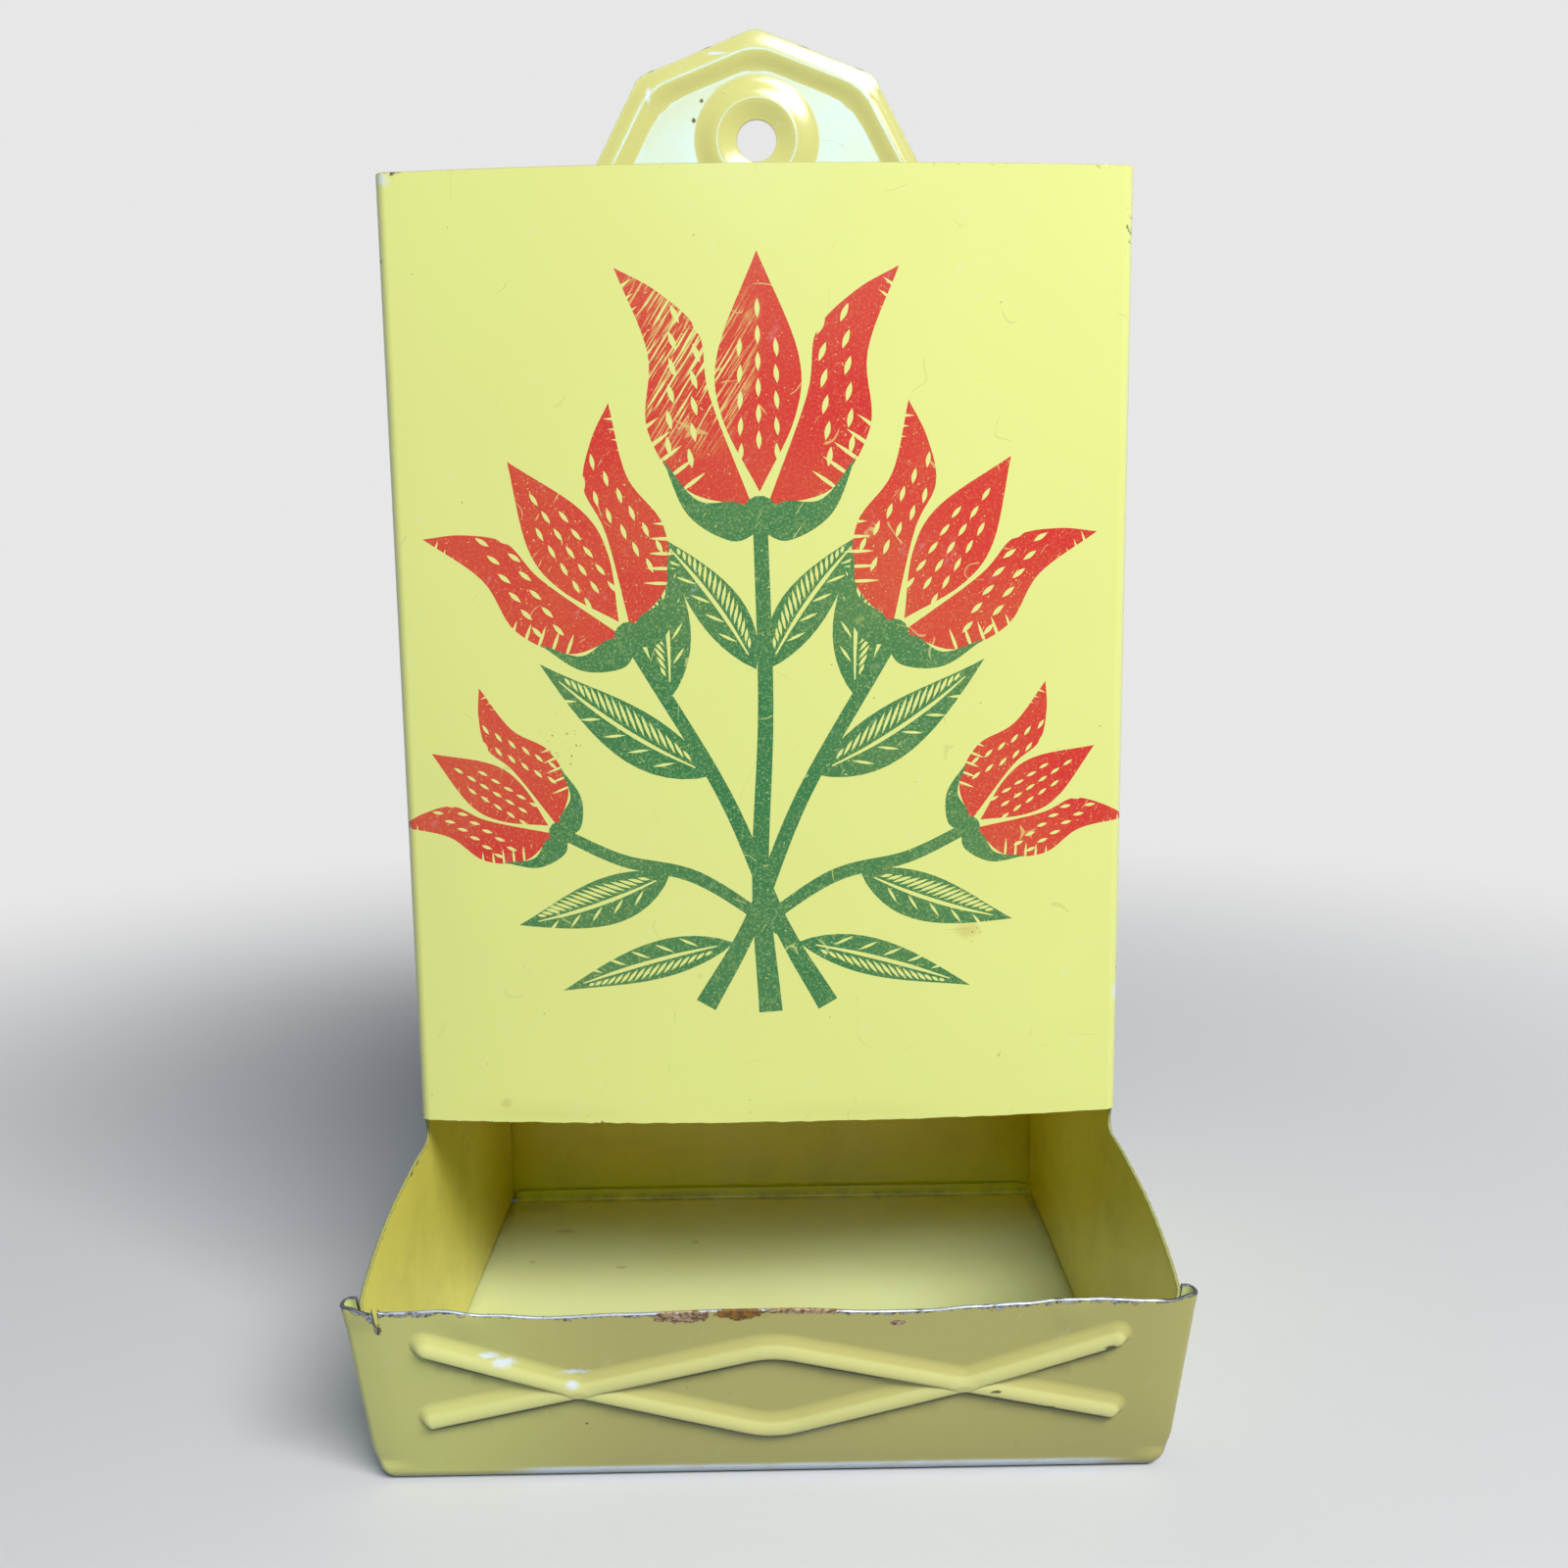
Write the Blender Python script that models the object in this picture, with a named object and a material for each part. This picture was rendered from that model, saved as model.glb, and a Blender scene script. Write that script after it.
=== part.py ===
"""Wall match holder in lacquered tinplate: a wrapped body, a back with its hanger, and a tray.

+X is the viewer's right, +Y points into the wall, and the origin is under the middle of the floor.
"""

import math

import bmesh
import bpy
from mathutils import Vector
from mathutils.geometry import delaunay_2d_cdt

# Sheet and seams, in metres: every piece is bent from the same tinplate
SHEET = 0.0004
SEAM_GAP = 0.0003
BEND_RADIUS = 0.0005
FLANGE_REACH = 0.00075

# Body: a bowed front panel between two side walls
BODY_WIDTH = 0.0762
BODY_DEPTH = 0.0511
PANEL_HEIGHT = 0.0988
PANEL_BOW = 0.00235
PANEL_CORNER_RADIUS = 0.0011
MOUTH_HEIGHT = 0.0323

# Wings: the side walls run forward under the panel and flare out from a slanting crease
RELIEF_DEPTH = 0.001
RELIEF_DROP = 0.0032
CREASE_RUN = 0.0105
WING_FLARE_TOP = 0.0021
WING_FLARE_FOOT = 0.0009
WING_CORNER = 0.003
WING_RISE = 0.0002
FLANGE_DROP = 0.0008
RELIEF_SHARES = ((0.5, 0.18), (0.95, 0.5), (0.8, 0.82))
WING_EDGE_SHARES = ((0.14, 0.06), (0.3, 0.17), (0.51, 0.33), (0.71, 0.55), (0.89, 0.8))

# Tray: a floor whose front turns up into the leaning apron and whose rear turns up into a lip
FOOT_REACH = 0.01577
FOOT_RADIUS = 0.0015
APRON_HEIGHT = 0.0211
APRON_LEAN = math.radians(13)
APRON_BOW = 0.0005
LIP_HEIGHT = 0.0019
LIP_CORNER = 0.001
CORNER_DIP = 0.0014
CORNER_DIP_LENGTH = 0.0042
EDGE_WAVE = 0.0006
EDGE_WAVE_SHARES = (
    (-1, 1.3), (-0.94, 0.1), (-0.87, 0.2), (-0.78, 0.55), (-0.66, -0.4), (-0.53, -1.0), (-0.35, -0.5),
    (-0.1, 0), (0.06, 0), (0.25, -0.7), (0.37, -0.7), (0.48, -0.1), (0.6, 0.3), (0.69, 0.9), (0.77, 0.85),
    (0.9, 0.25), (0.95, 0), (1, 0.8),
)

# Lattice embossed on the apron: two ribs that cross twice, each steeper below its crest
RIB_WIDTH = 0.0028
RIB_LIFT = 0.0008
RIB_SKEW = 0.45
LATTICE_REACH = 0.0338
CROSSING_REACH = 0.01905
CROSSING_HEIGHT = 0.0113
LATTICE_TOP = 0.01615
LATTICE_BOTTOM = 0.00565
RIB_END_TOP = 0.0166
RIB_END_BOTTOM = 0.0076
RIB_TURN_RADIUS = 0.009
RIB_LINE_SHARES = (0.35, 0.7, 1)

# Hanger: the tab above the back, with an embossed rim and a dished nail hole
TAB_HEIGHT = 0.0305
TAB_FOOT_REACH = 0.0286
TAB_SHOULDER_REACH = 0.0155
TAB_SHOULDER_HEIGHT = 0.0245
TAB_CORNER_RADIUS = 0.0025
RIM_CREST_INSET = 0.0019
RIM_FOOT_INSET = 0.0038
RIM_LIFT = 0.0008
RIM_EDGE_SHARE = 0.55
RIM_FADE_START = 0.001
RIM_FADE_LENGTH = 0.005
HOLE_RADIUS = 0.00263
HOLE_HEIGHT = 0.0165
RING_CREST_RADIUS = 0.0051
RING_FOOT_RADIUS = 0.0076
RING_LIFT = 0.0008
RIM_LINE_SHARES = (0.25, 0.5, 0.65, 0.8, 1)
RING_CONE_SHARES = (0.5, 1)
RING_SLOPE_SHARES = (0.33, 0.67, 1)
FADE_SHARES = (0, 0.33, 0.67, 1)

# Segments
BEND_STEPS = 5
ROLL_STEPS = 8
PANEL_STEPS = 28
CURVE_STEPS = 4
CORNER_STEPS = 6
RING_STEPS = 32
END_RIB_STEPS = 4
MIDDLE_RIB_STEPS = 18

# Worked out from the sizes above
SEAM_PITCH = SHEET + SEAM_GAP
HALF_SHEET = SHEET / 2
HALF_WALL = BODY_WIDTH / 2 - HALF_SHEET
FLANGE_TIP_X = HALF_WALL + HALF_SHEET + FLANGE_REACH
LIP_HALF_WIDTH = HALF_WALL - HALF_SHEET - SEAM_GAP
WING_SETBACK = SEAM_PITCH + BEND_RADIUS
BODY_TOP = MOUTH_HEIGHT + PANEL_HEIGHT
FOOT_TURN = math.pi / 2 - APRON_LEAN
APRON_REACH = FOOT_REACH + APRON_HEIGHT * math.sin(APRON_LEAN) + APRON_BOW
OVERALL_DEPTH = BODY_DEPTH + APRON_REACH + HALF_SHEET
WALL_FACE_Y = OVERALL_DEPTH / 2
FRONT_LINE_Y = WALL_FACE_Y - BODY_DEPTH
FOOT_Y = FRONT_LINE_Y - FOOT_REACH
BACK_Y = WALL_FACE_Y - HALF_SHEET
REAR_FLANGE_Y = BACK_Y - SEAM_PITCH
WALL_REAR_Y = REAR_FLANGE_Y - BEND_RADIUS
WALL_FOOT_Z = HALF_SHEET + WING_SETBACK
REAR_SEAM_Z = SHEET + 2 * SEAM_PITCH + SEAM_GAP
BOW_RADIUS = (HALF_WALL**2 + PANEL_BOW**2) / (2 * PANEL_BOW)
BOW_CENTRE_Y = FRONT_LINE_Y + HALF_SHEET - PANEL_BOW + BOW_RADIUS
PANEL_CORNER_X = HALF_WALL - PANEL_CORNER_RADIUS
PANEL_CORNER_Y = BOW_CENTRE_Y - math.sqrt(
    (BOW_RADIUS - PANEL_CORNER_RADIUS) ** 2 - PANEL_CORNER_X**2
)
CREASE_TOP = Vector((PANEL_CORNER_Y, MOUTH_HEIGHT - RELIEF_DROP))
CREASE_FOOT = Vector((PANEL_CORNER_Y + CREASE_RUN, WALL_FOOT_Z))
FOOT_ARC = FOOT_RADIUS * FOOT_TURN
FOOT_TANGENT = FOOT_RADIUS * math.tan(FOOT_TURN / 2)
FLOOR_FRONT_Y = FOOT_Y + FOOT_TANGENT
FLOOR_REAR_S = FLOOR_FRONT_Y - WALL_REAR_Y
LIP_ARC = BEND_RADIUS * math.pi / 2
MERGE = SHEET / 100
ON_LINE = SHEET / 20

LACQUER_COLOUR = (0.76, 0.79, 0.26, 1)
LACQUER_ROUGHNESS = 0.32


# Curves and flat patterns

def ease(share):
    """0 to 1 along half a cosine wave."""
    return (1 - math.cos(math.pi * min(max(share, 0), 1))) / 2


def mix(low, high, share):
    return low + (high - low) * share


def smooth_through(points, steps):
    """A curve through the points, with a fixed number of steps between each pair."""
    ends = [points[0] * 2 - points[1], *points, points[-1] * 2 - points[-2]]
    curve = [points[0]]
    for before, start, end, after in zip(ends, ends[1:], ends[2:], ends[3:]):
        for step in range(1, steps + 1):
            t = step / steps
            bend = (end - before) * t + (2 * before - 5 * start + 4 * end - after) * t**2
            bend += (3 * start - before - 3 * end + after) * t**3
            curve.append(start + bend / 2)
    return curve


def round_corners(points, radius, steps):
    """The open line with an arc of this radius at every inner corner."""
    line = [points[0]]
    for before, corner, after in zip(points, points[1:], points[2:]):
        back = (before - corner).normalized()
        ahead = (after - corner).normalized()
        half_angle = back.angle(ahead) / 2
        centre = corner + (back + ahead).normalized() * (radius / math.sin(half_angle))
        start = corner + back * (radius / math.tan(half_angle)) - centre
        sweep = math.pi - 2 * half_angle
        turn = math.copysign(sweep, back.x * ahead.y - back.y * ahead.x)
        for step in range(steps + 1):
            angle = -turn * step / steps
            cos, sin = math.cos(angle), math.sin(angle)
            spoke = Vector((start.x * cos - start.y * sin, start.x * sin + start.y * cos))
            line.append(centre + spoke)
    line.append(points[-1])
    return line


def circle(centre, radius, steps):
    angles = [2 * math.pi * step / steps for step in range(steps)]
    return [centre + Vector((math.cos(a), math.sin(a))) * radius for a in angles]


def inside(point, loops):
    """Whether a ray from the point crosses the loops an odd number of times."""
    crossings = 0
    for loop in loops:
        for a, b in zip(loop, loop[1:] + loop[:1]):
            if (a.y > point.y) != (b.y > point.y):
                crossings += point.x < a.x + (b.x - a.x) * (point.y - a.y) / (b.y - a.y)
    return crossings % 2 == 1


def triangulate(loops, creases):
    """Points and triangles of a flat pattern, with an edge along every crease."""
    points, edges = [], []
    for line, closed in [(loop, True) for loop in loops] + [(line, False) for line in creases]:
        first = len(points)
        points += line
        edges += [(first + i, first + i + 1) for i in range(len(line) - 1)]
        if closed:
            edges.append((len(points) - 1, first))
    found, _, faces, *_ = delaunay_2d_cdt(points, edges, [], 0, MERGE)
    kept = [f for f in faces if inside(sum((found[i] for i in f), Vector((0, 0))) / 3, loops)]
    return found, kept


def add_sheet(shell, loops, creases, place):
    """Adds a flat pattern, bent into shape by place(), and returns its flat points and vertices."""
    flat, faces = triangulate(loops, creases)
    verts = [shell.verts.new(place(point)) for point in flat]
    for face in faces:
        shell.faces.new([verts[i] for i in face])
    return flat, verts


def edge_run(sheet, path):
    """The sheet's vertices that lie on a path of its flat pattern, in order, with their flat points."""
    run = []
    for a, b in zip(path, path[1:]):
        along = (b - a).normalized()
        length = (b - a).length
        hits = []
        for point, vert in zip(*sheet):
            offset = point - a
            reach = offset.dot(along)
            if -ON_LINE < reach < length + ON_LINE and (offset - along * reach).length < ON_LINE:
                hits.append((reach, point, vert))
        hits.sort(key=lambda hit: hit[0])
        run += [(point, vert) for _, point, vert in hits if (point, vert) not in run]
    return run


# Bent edges: a profile is a list of (out, deep) steps from the edge, along two directions

def flange_profile():
    """A bend and a short flange that stands out from the wall."""
    angles = [math.pi / 2 * step / BEND_STEPS for step in range(1, BEND_STEPS + 1)]
    bend = [(BEND_RADIUS * (1 - math.cos(a)), BEND_RADIUS * math.sin(a)) for a in angles]
    return bend + [(HALF_SHEET + FLANGE_REACH, BEND_RADIUS)]


def roll_profile():
    """A half turn round a neighbour's flange, and the leg that comes back behind it."""
    angles = [math.pi * step / ROLL_STEPS for step in range(1, ROLL_STEPS + 1)]
    turn = [(SEAM_PITCH * math.sin(a), SEAM_PITCH * (1 - math.cos(a))) for a in angles]
    return turn + [(SEAM_GAP - FLANGE_REACH, 2 * SEAM_PITCH)]


def bend_edge(shell, verts, outs, deeps, profile, steps):
    """Carries an edge through the profile. steps says how much of it each stretch of the edge gets."""
    rows = [verts]
    for out, deep in profile:
        spots = [v.co + o * out + d * deep for v, o, d in zip(verts, outs, deeps)]
        rows.append([shell.verts.new(spot) for spot in spots])
    for level, (near, far) in enumerate(zip(rows, rows[1:])):
        for i in range(len(verts) - 1):
            if level < steps[i]:
                shell.faces.new((near[i], near[i + 1], far[i + 1], far[i]))


def bend_straight_edge(shell, run, out, deep, profile):
    verts = [vert for _, vert in run]
    count = len(verts)
    bend_edge(shell, verts, [out] * count, [deep] * count, profile, [len(profile)] * count)


# Solids

def lacquer(name):
    material = bpy.data.materials.new(name)
    material.use_nodes = True
    shader = material.node_tree.nodes["Principled BSDF"]
    shader.inputs["Base Color"].default_value = LACQUER_COLOUR
    shader.inputs["Roughness"].default_value = LACQUER_ROUGHNESS
    shader.inputs["Metallic"].default_value = 0
    return material


def sheet_metal(name, shell):
    """Gives a bent surface the thickness of the sheet, half to each side."""
    loose = [vert for vert in shell.verts if not vert.link_faces]
    bmesh.ops.delete(shell, geom=loose, context="VERTS")
    bmesh.ops.recalc_face_normals(shell, faces=shell.faces)
    mesh = bpy.data.meshes.new(name)
    shell.to_mesh(mesh)
    shell.free()
    mesh.shade_smooth()
    mesh.materials.append(lacquer(name + "_lacquer"))
    piece = bpy.data.objects.new(name, mesh)
    bpy.context.scene.collection.objects.link(piece)
    thicken = piece.modifiers.new("sheet", "SOLIDIFY")
    thicken.thickness = SHEET
    thicken.offset = 0
    return piece


# Body wrap: one blank makes the front panel, both side walls and their wings

def apron_line(height, setback):
    """(y, z) of a line behind the apron and parallel to it, at a height up its slope."""
    along = Vector((-math.sin(APRON_LEAN), math.cos(APRON_LEAN)))
    behind = Vector((math.cos(APRON_LEAN), math.sin(APRON_LEAN)))
    return Vector((FOOT_Y, HALF_SHEET)) + along * height + behind * setback


def crease_y(z):
    share = (z - CREASE_TOP.y) / (CREASE_FOOT.y - CREASE_TOP.y)
    return mix(CREASE_TOP.x, CREASE_FOOT.x, share)


def full_flare(z):
    """How far the wing's front edge stands out from the wall at this height."""
    top = apron_line(APRON_HEIGHT, 0).y
    return mix(WING_FLARE_FOOT, WING_FLARE_TOP, (z - WALL_FOOT_Z) / (top - WALL_FOOT_Z))


def flare(y, z):
    """How far the wing stands out from the plane of the wall."""
    foot = apron_line(0, WING_SETBACK)
    front_y = foot.x - (z - foot.y) * math.tan(APRON_LEAN)
    share = (crease_y(z) - y) / (crease_y(z) - front_y)
    return full_flare(z) * max(share, 0)


def wall_outline():
    """The side wall in (y, z), and the stretches of its edge that carry a bend."""
    wing_top = apron_line(APRON_HEIGHT + WING_RISE, WING_SETBACK)
    flange_top = apron_line(APRON_HEIGHT - FLANGE_DROP, WING_SETBACK)
    foot_height = WING_SETBACK * (1 - math.sin(APRON_LEAN)) / math.cos(APRON_LEAN)
    sharp_corner = apron_line(foot_height, WING_SETBACK)
    up = (flange_top - sharp_corner).normalized()
    flange_foot = sharp_corner + up * WING_CORNER
    bottom_front = sharp_corner + Vector((WING_CORNER, 0))

    relief = [Vector((PANEL_CORNER_Y, MOUTH_HEIGHT))]
    for back, down in RELIEF_SHARES:
        relief.append(relief[0] + Vector((RELIEF_DEPTH * back, -RELIEF_DROP * down)))
    relief.append(CREASE_TOP)
    wing_edge = [CREASE_TOP]
    for ahead, down in WING_EDGE_SHARES:
        wing_edge.append(
            Vector((mix(CREASE_TOP.x, wing_top.x, ahead), mix(CREASE_TOP.y, wing_top.y, down)))
        )
    wing_edge.append(wing_top)

    corner = []
    for step in range(1, CORNER_STEPS):
        t = step / CORNER_STEPS
        side = flange_foot.lerp(sharp_corner, t)
        corner.append(side.lerp(sharp_corner.lerp(bottom_front, t), t))

    panel_side = [Vector((PANEL_CORNER_Y, BODY_TOP)), relief[0]]
    front = [flange_top, flange_foot]
    bottom = [bottom_front, CREASE_FOOT, Vector((WALL_REAR_Y, WALL_FOOT_Z))]
    rear = [Vector((WALL_REAR_Y, REAR_SEAM_Z)), Vector((WALL_REAR_Y, BODY_TOP))]
    outline = [panel_side[0], *smooth_through(relief, CURVE_STEPS)]
    outline += smooth_through(wing_edge, CURVE_STEPS)[1:]
    outline += [*front, *corner, *bottom, *rear]
    return outline, panel_side, front, bottom, rear


def panel_columns():
    """(x, y) down the plan of the front panel, from the right wall to the left one."""
    half_span = math.asin(PANEL_CORNER_X / (BOW_RADIUS - PANEL_CORNER_RADIUS))
    corner = []
    for step in range(1, CORNER_STEPS):
        angle = -(math.pi / 2 - half_span) * step / CORNER_STEPS
        corner.append(
            Vector((PANEL_CORNER_X + PANEL_CORNER_RADIUS * math.cos(angle),
                    PANEL_CORNER_Y + PANEL_CORNER_RADIUS * math.sin(angle)))
        )
    bow = []
    for step in range(PANEL_STEPS + 1):
        angle = mix(half_span, -half_span, step / PANEL_STEPS)
        bow.append(
            Vector((BOW_RADIUS * math.sin(angle), BOW_CENTRE_Y - BOW_RADIUS * math.cos(angle)))
        )
    return corner + bow + [Vector((-p.x, p.y)) for p in reversed(corner)]


def body_wrap():
    shell = bmesh.new()
    outline, panel_side, front, bottom, rear = wall_outline()
    creases = [[CREASE_TOP, CREASE_FOOT]]
    flange = flange_profile()
    panel_edges = []
    for side in (1, -1):
        def place(point):
            return Vector((side * (HALF_WALL + flare(point.x, point.y)), point.x, point.y))

        wall = add_sheet(shell, [outline], creases, place)
        out = Vector((side, 0, 0))
        ahead = Vector((0, -math.cos(APRON_LEAN), -math.sin(APRON_LEAN)))
        bend_straight_edge(shell, edge_run(wall, front), out, ahead, flange)
        bend_straight_edge(shell, edge_run(wall, bottom), out, Vector((0, 0, -1)), flange)
        bend_straight_edge(shell, edge_run(wall, rear), out, Vector((0, 1, 0)), flange)
        panel_edges.append([vert for _, vert in edge_run(wall, panel_side)])

    columns = [panel_edges[0]]
    for spot in panel_columns():
        columns.append([shell.verts.new((spot.x, spot.y, vert.co.z)) for vert in columns[0]])
    columns.append(panel_edges[1])
    for near, far in zip(columns, columns[1:]):
        for i in range(len(near) - 1):
            shell.faces.new((near[i], near[i + 1], far[i + 1], far[i]))
    return sheet_metal("body_wrap", shell)


# Back panel: a flat sheet with rolled sides and the embossed hanger tab

def tab_line(inset):
    """The hanger's edge from its right foot to its left foot, moved inwards by the inset."""
    corners = [
        Vector((TAB_FOOT_REACH, BODY_TOP)),
        Vector((TAB_SHOULDER_REACH, BODY_TOP + TAB_SHOULDER_HEIGHT)),
        Vector((0, BODY_TOP + TAB_HEIGHT)),
    ]
    side = (corners[1] - corners[0]).normalized()
    slope = (corners[2] - corners[1]).normalized()
    side_in = Vector((-side.y, side.x))
    slope_in = Vector((-slope.y, slope.x))
    foot = corners[0] + side_in * inset
    foot -= side * (foot.y - BODY_TOP) / side.y
    turn = (side_in + slope_in) / (1 + side_in.dot(slope_in))
    shoulder = corners[1] + turn * inset
    peak = Vector((0, corners[2].y + inset / slope_in.y))
    left = [Vector((-p.x, p.y)) for p in (shoulder, foot)]
    return [foot, shoulder, peak, *left]


def tab_inset(x, z):
    """Distance from the tab's edge, taken inwards from its nearest side."""
    foot, shoulder, peak, *_ = tab_line(0)
    spot = Vector((abs(x), z))
    distances = []
    for a, b in ((foot, shoulder), (shoulder, peak)):
        along = (b - a).normalized()
        distances.append(along.x * (spot.y - a.y) - along.y * (spot.x - a.x))
    return min(distances)


def rim_lift(x, z):
    """Height of the embossed rim, which runs out above the body's top edge."""
    inset = max(tab_inset(x, z), 0)
    if inset < RIM_CREST_INSET:
        height = mix(RIM_EDGE_SHARE, 1, ease(inset / RIM_CREST_INSET))
    else:
        height = 1 - ease((inset - RIM_CREST_INSET) / (RIM_FOOT_INSET - RIM_CREST_INSET))
    return RIM_LIFT * height * ease((z - BODY_TOP - RIM_FADE_START) / RIM_FADE_LENGTH)


def ring_lift(x, z):
    """Height of the ring round the nail hole: a cone inside its crest and a slope outside."""
    radius = Vector((x, z - BODY_TOP - HOLE_HEIGHT)).length
    if radius < RING_CREST_RADIUS:
        return RING_LIFT * max((radius - HOLE_RADIUS) / (RING_CREST_RADIUS - HOLE_RADIUS), 0)
    return RING_LIFT * (1 - ease((radius - RING_CREST_RADIUS) / (RING_FOOT_RADIUS - RING_CREST_RADIUS)))


def with_fade_points(line):
    """The tab line with points added near both feet, where the rim runs out."""
    foot, shoulder, peak, left_shoulder, left_foot = line
    heights = [BODY_TOP + RIM_FADE_START + RIM_FADE_LENGTH * share for share in FADE_SHARES]
    risers = [foot.lerp(shoulder, (z - foot.y) / (shoulder.y - foot.y)) for z in heights]
    left = [Vector((-p.x, p.y)) for p in reversed(risers)]
    return risers, [shoulder, peak, left_shoulder], left


def back_panel():
    shell = bmesh.new()
    right = [Vector((FLANGE_TIP_X, REAR_SEAM_Z)), Vector((FLANGE_TIP_X, BODY_TOP))]
    left = [Vector((-p.x, p.y)) for p in reversed(right)]
    foot, *_, left_foot = tab_line(0)
    risers, turns, left_risers = with_fade_points(tab_line(0))
    crown = round_corners([risers[-1], *turns, left_risers[0]], TAB_CORNER_RADIUS, CURVE_STEPS)
    outline = [Vector((-FLANGE_TIP_X, SEAM_GAP)), Vector((FLANGE_TIP_X, SEAM_GAP)), *right]
    outline += [foot, *risers[:-1], *crown, *left_risers[1:], left_foot, *left]

    centre = Vector((0, BODY_TOP + HOLE_HEIGHT))
    hole = circle(centre, HOLE_RADIUS, RING_STEPS)
    rings = [mix(HOLE_RADIUS, RING_CREST_RADIUS, share) for share in RING_CONE_SHARES]
    rings += [mix(RING_CREST_RADIUS, RING_FOOT_RADIUS, share) for share in RING_SLOPE_SHARES]
    creases = []
    for radius in rings:
        ring = circle(centre, radius, RING_STEPS)
        creases.append(ring + ring[:1])
    for share in RIM_LINE_SHARES:
        risers, turns, left_risers = with_fade_points(tab_line(RIM_FOOT_INSET * share))
        creases.append([*risers, *turns, *left_risers])

    def place(point):
        lift = rim_lift(*point) if point.y > BODY_TOP else 0
        return Vector((point.x, BACK_Y - lift - ring_lift(*point), point.y))

    sheet = add_sheet(shell, [outline, hole], creases, place)
    for side, path in ((1, right), (-1, left)):
        out = Vector((side, 0, 0))
        bend_straight_edge(shell, edge_run(sheet, path), out, Vector((0, -1, 0)), roll_profile())
    return sheet_metal("back_panel", shell)


# Tray: the flat pattern is (x, s), and s runs forward along the floor and up the apron

def slope_height(s):
    """Height up the apron's slope, from the sharp corner that its foot would have."""
    return s - FOOT_ARC + FOOT_TANGENT


def strip_frame(s):
    """(place, forward, inward) of the tray's strip in the plane x = 0, without its embossing."""
    if s < FLOOR_REAR_S:
        turn = min((FLOOR_REAR_S - s) / BEND_RADIUS, math.pi / 2)
        rise = max(FLOOR_REAR_S - s - LIP_ARC, 0)
        y = WALL_REAR_Y + BEND_RADIUS * math.sin(turn)
        z = HALF_SHEET + BEND_RADIUS * (1 - math.cos(turn)) + rise
        forward = Vector((0, -math.cos(turn), -math.sin(turn)))
        return Vector((0, y, z)), forward, Vector((0, -math.sin(turn), math.cos(turn)))
    if s <= 0:
        return Vector((0, FLOOR_FRONT_Y - s, HALF_SHEET)), Vector((0, -1, 0)), Vector((0, 0, 1))
    turn = min(s / FOOT_RADIUS, FOOT_TURN)
    y = FLOOR_FRONT_Y - FOOT_RADIUS * math.sin(turn)
    z = HALF_SHEET + FOOT_RADIUS * (1 - math.cos(turn))
    forward = Vector((0, -math.cos(turn), math.sin(turn)))
    inward = Vector((0, math.sin(turn), math.cos(turn)))
    return Vector((0, y, z)) + forward * max(s - FOOT_ARC, 0), forward, inward


def rib_lines():
    """The two ribs in (x, height up the slope), each rounded where it turns in the middle."""
    ribs = []
    for end, middle in ((RIB_END_TOP, LATTICE_BOTTOM), (RIB_END_BOTTOM, LATTICE_TOP)):
        half = [Vector((LATTICE_REACH, end)), Vector((CROSSING_REACH, CROSSING_HEIGHT))]
        middle_point = Vector((0, middle))
        mirrored = [Vector((-p.x, p.y)) for p in reversed(half)]
        line = [half[1], middle_point, mirrored[0]]
        ribs.append([half[0], *round_corners(line, RIB_TURN_RADIUS, CURVE_STEPS), mirrored[1]])
    return ribs


def offset_from(line, point):
    """The shortest step from the line to the point."""
    offsets = []
    for a, b in zip(line, line[1:]):
        along = b - a
        share = min(max((point - a).dot(along) / along.length_squared, 0), 1)
        offsets.append(point - a - along * share)
    return min(offsets, key=lambda offset: offset.length)


def rib_reach(direction):
    """How far a rib's face runs from its crest in this direction."""
    return RIB_WIDTH / 2 * (1 + RIB_SKEW * direction.y)


def rib_lift(x, height, ribs):
    lift = 0
    for rib in ribs:
        offset = offset_from(rib, Vector((x, height)))
        lift = max(lift, 1 - ease(offset.length / rib_reach(offset.normalized())))
    return RIB_LIFT * lift


def divide(line, steps):
    """Points at even distances along the line."""
    lengths = [(b - a).length for a, b in zip(line, line[1:])]
    total = sum(lengths)
    points = [line[0]]
    for step in range(1, steps):
        reach = total * step / steps
        for a, b, length in zip(line, line[1:], lengths):
            if reach <= length:
                points.append(a.lerp(b, reach / length))
                break
            reach -= length
    points.append(line[-1])
    return points


def around_rib(line, share, steps):
    """A closed loop round a rib's crest line, at this share of the way down its faces."""
    loop = []
    for points in (line, line[::-1]):
        for before, point, after in zip([points[0], *points], points, [*points[1:], points[-1]]):
            along = (after - before).normalized()
            side = Vector((along.y, -along.x))
            loop.append(point + side * rib_reach(side) * share)
        end = (points[-1] - points[-2]).normalized()
        side = Vector((end.y, -end.x))
        for step in range(1, steps):
            angle = math.pi * step / steps
            spoke = side * math.cos(angle) + end * math.sin(angle)
            loop.append(points[-1] + spoke * rib_reach(spoke) * share)
    return loop


def apron_top_s(x):
    """The apron's top edge, which wavers by a fraction of a millimetre."""
    half = tray_side_x(FOOT_ARC + APRON_HEIGHT)
    share = min(max(x / half, -1), 1)
    for (a, low), (b, high) in zip(EDGE_WAVE_SHARES, EDGE_WAVE_SHARES[1:]):
        if share <= b:
            wave = mix(low, high, ease((share - a) / (b - a)))
            break
    return APRON_HEIGHT + FOOT_ARC - FOOT_TANGENT + EDGE_WAVE * wave


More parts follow.
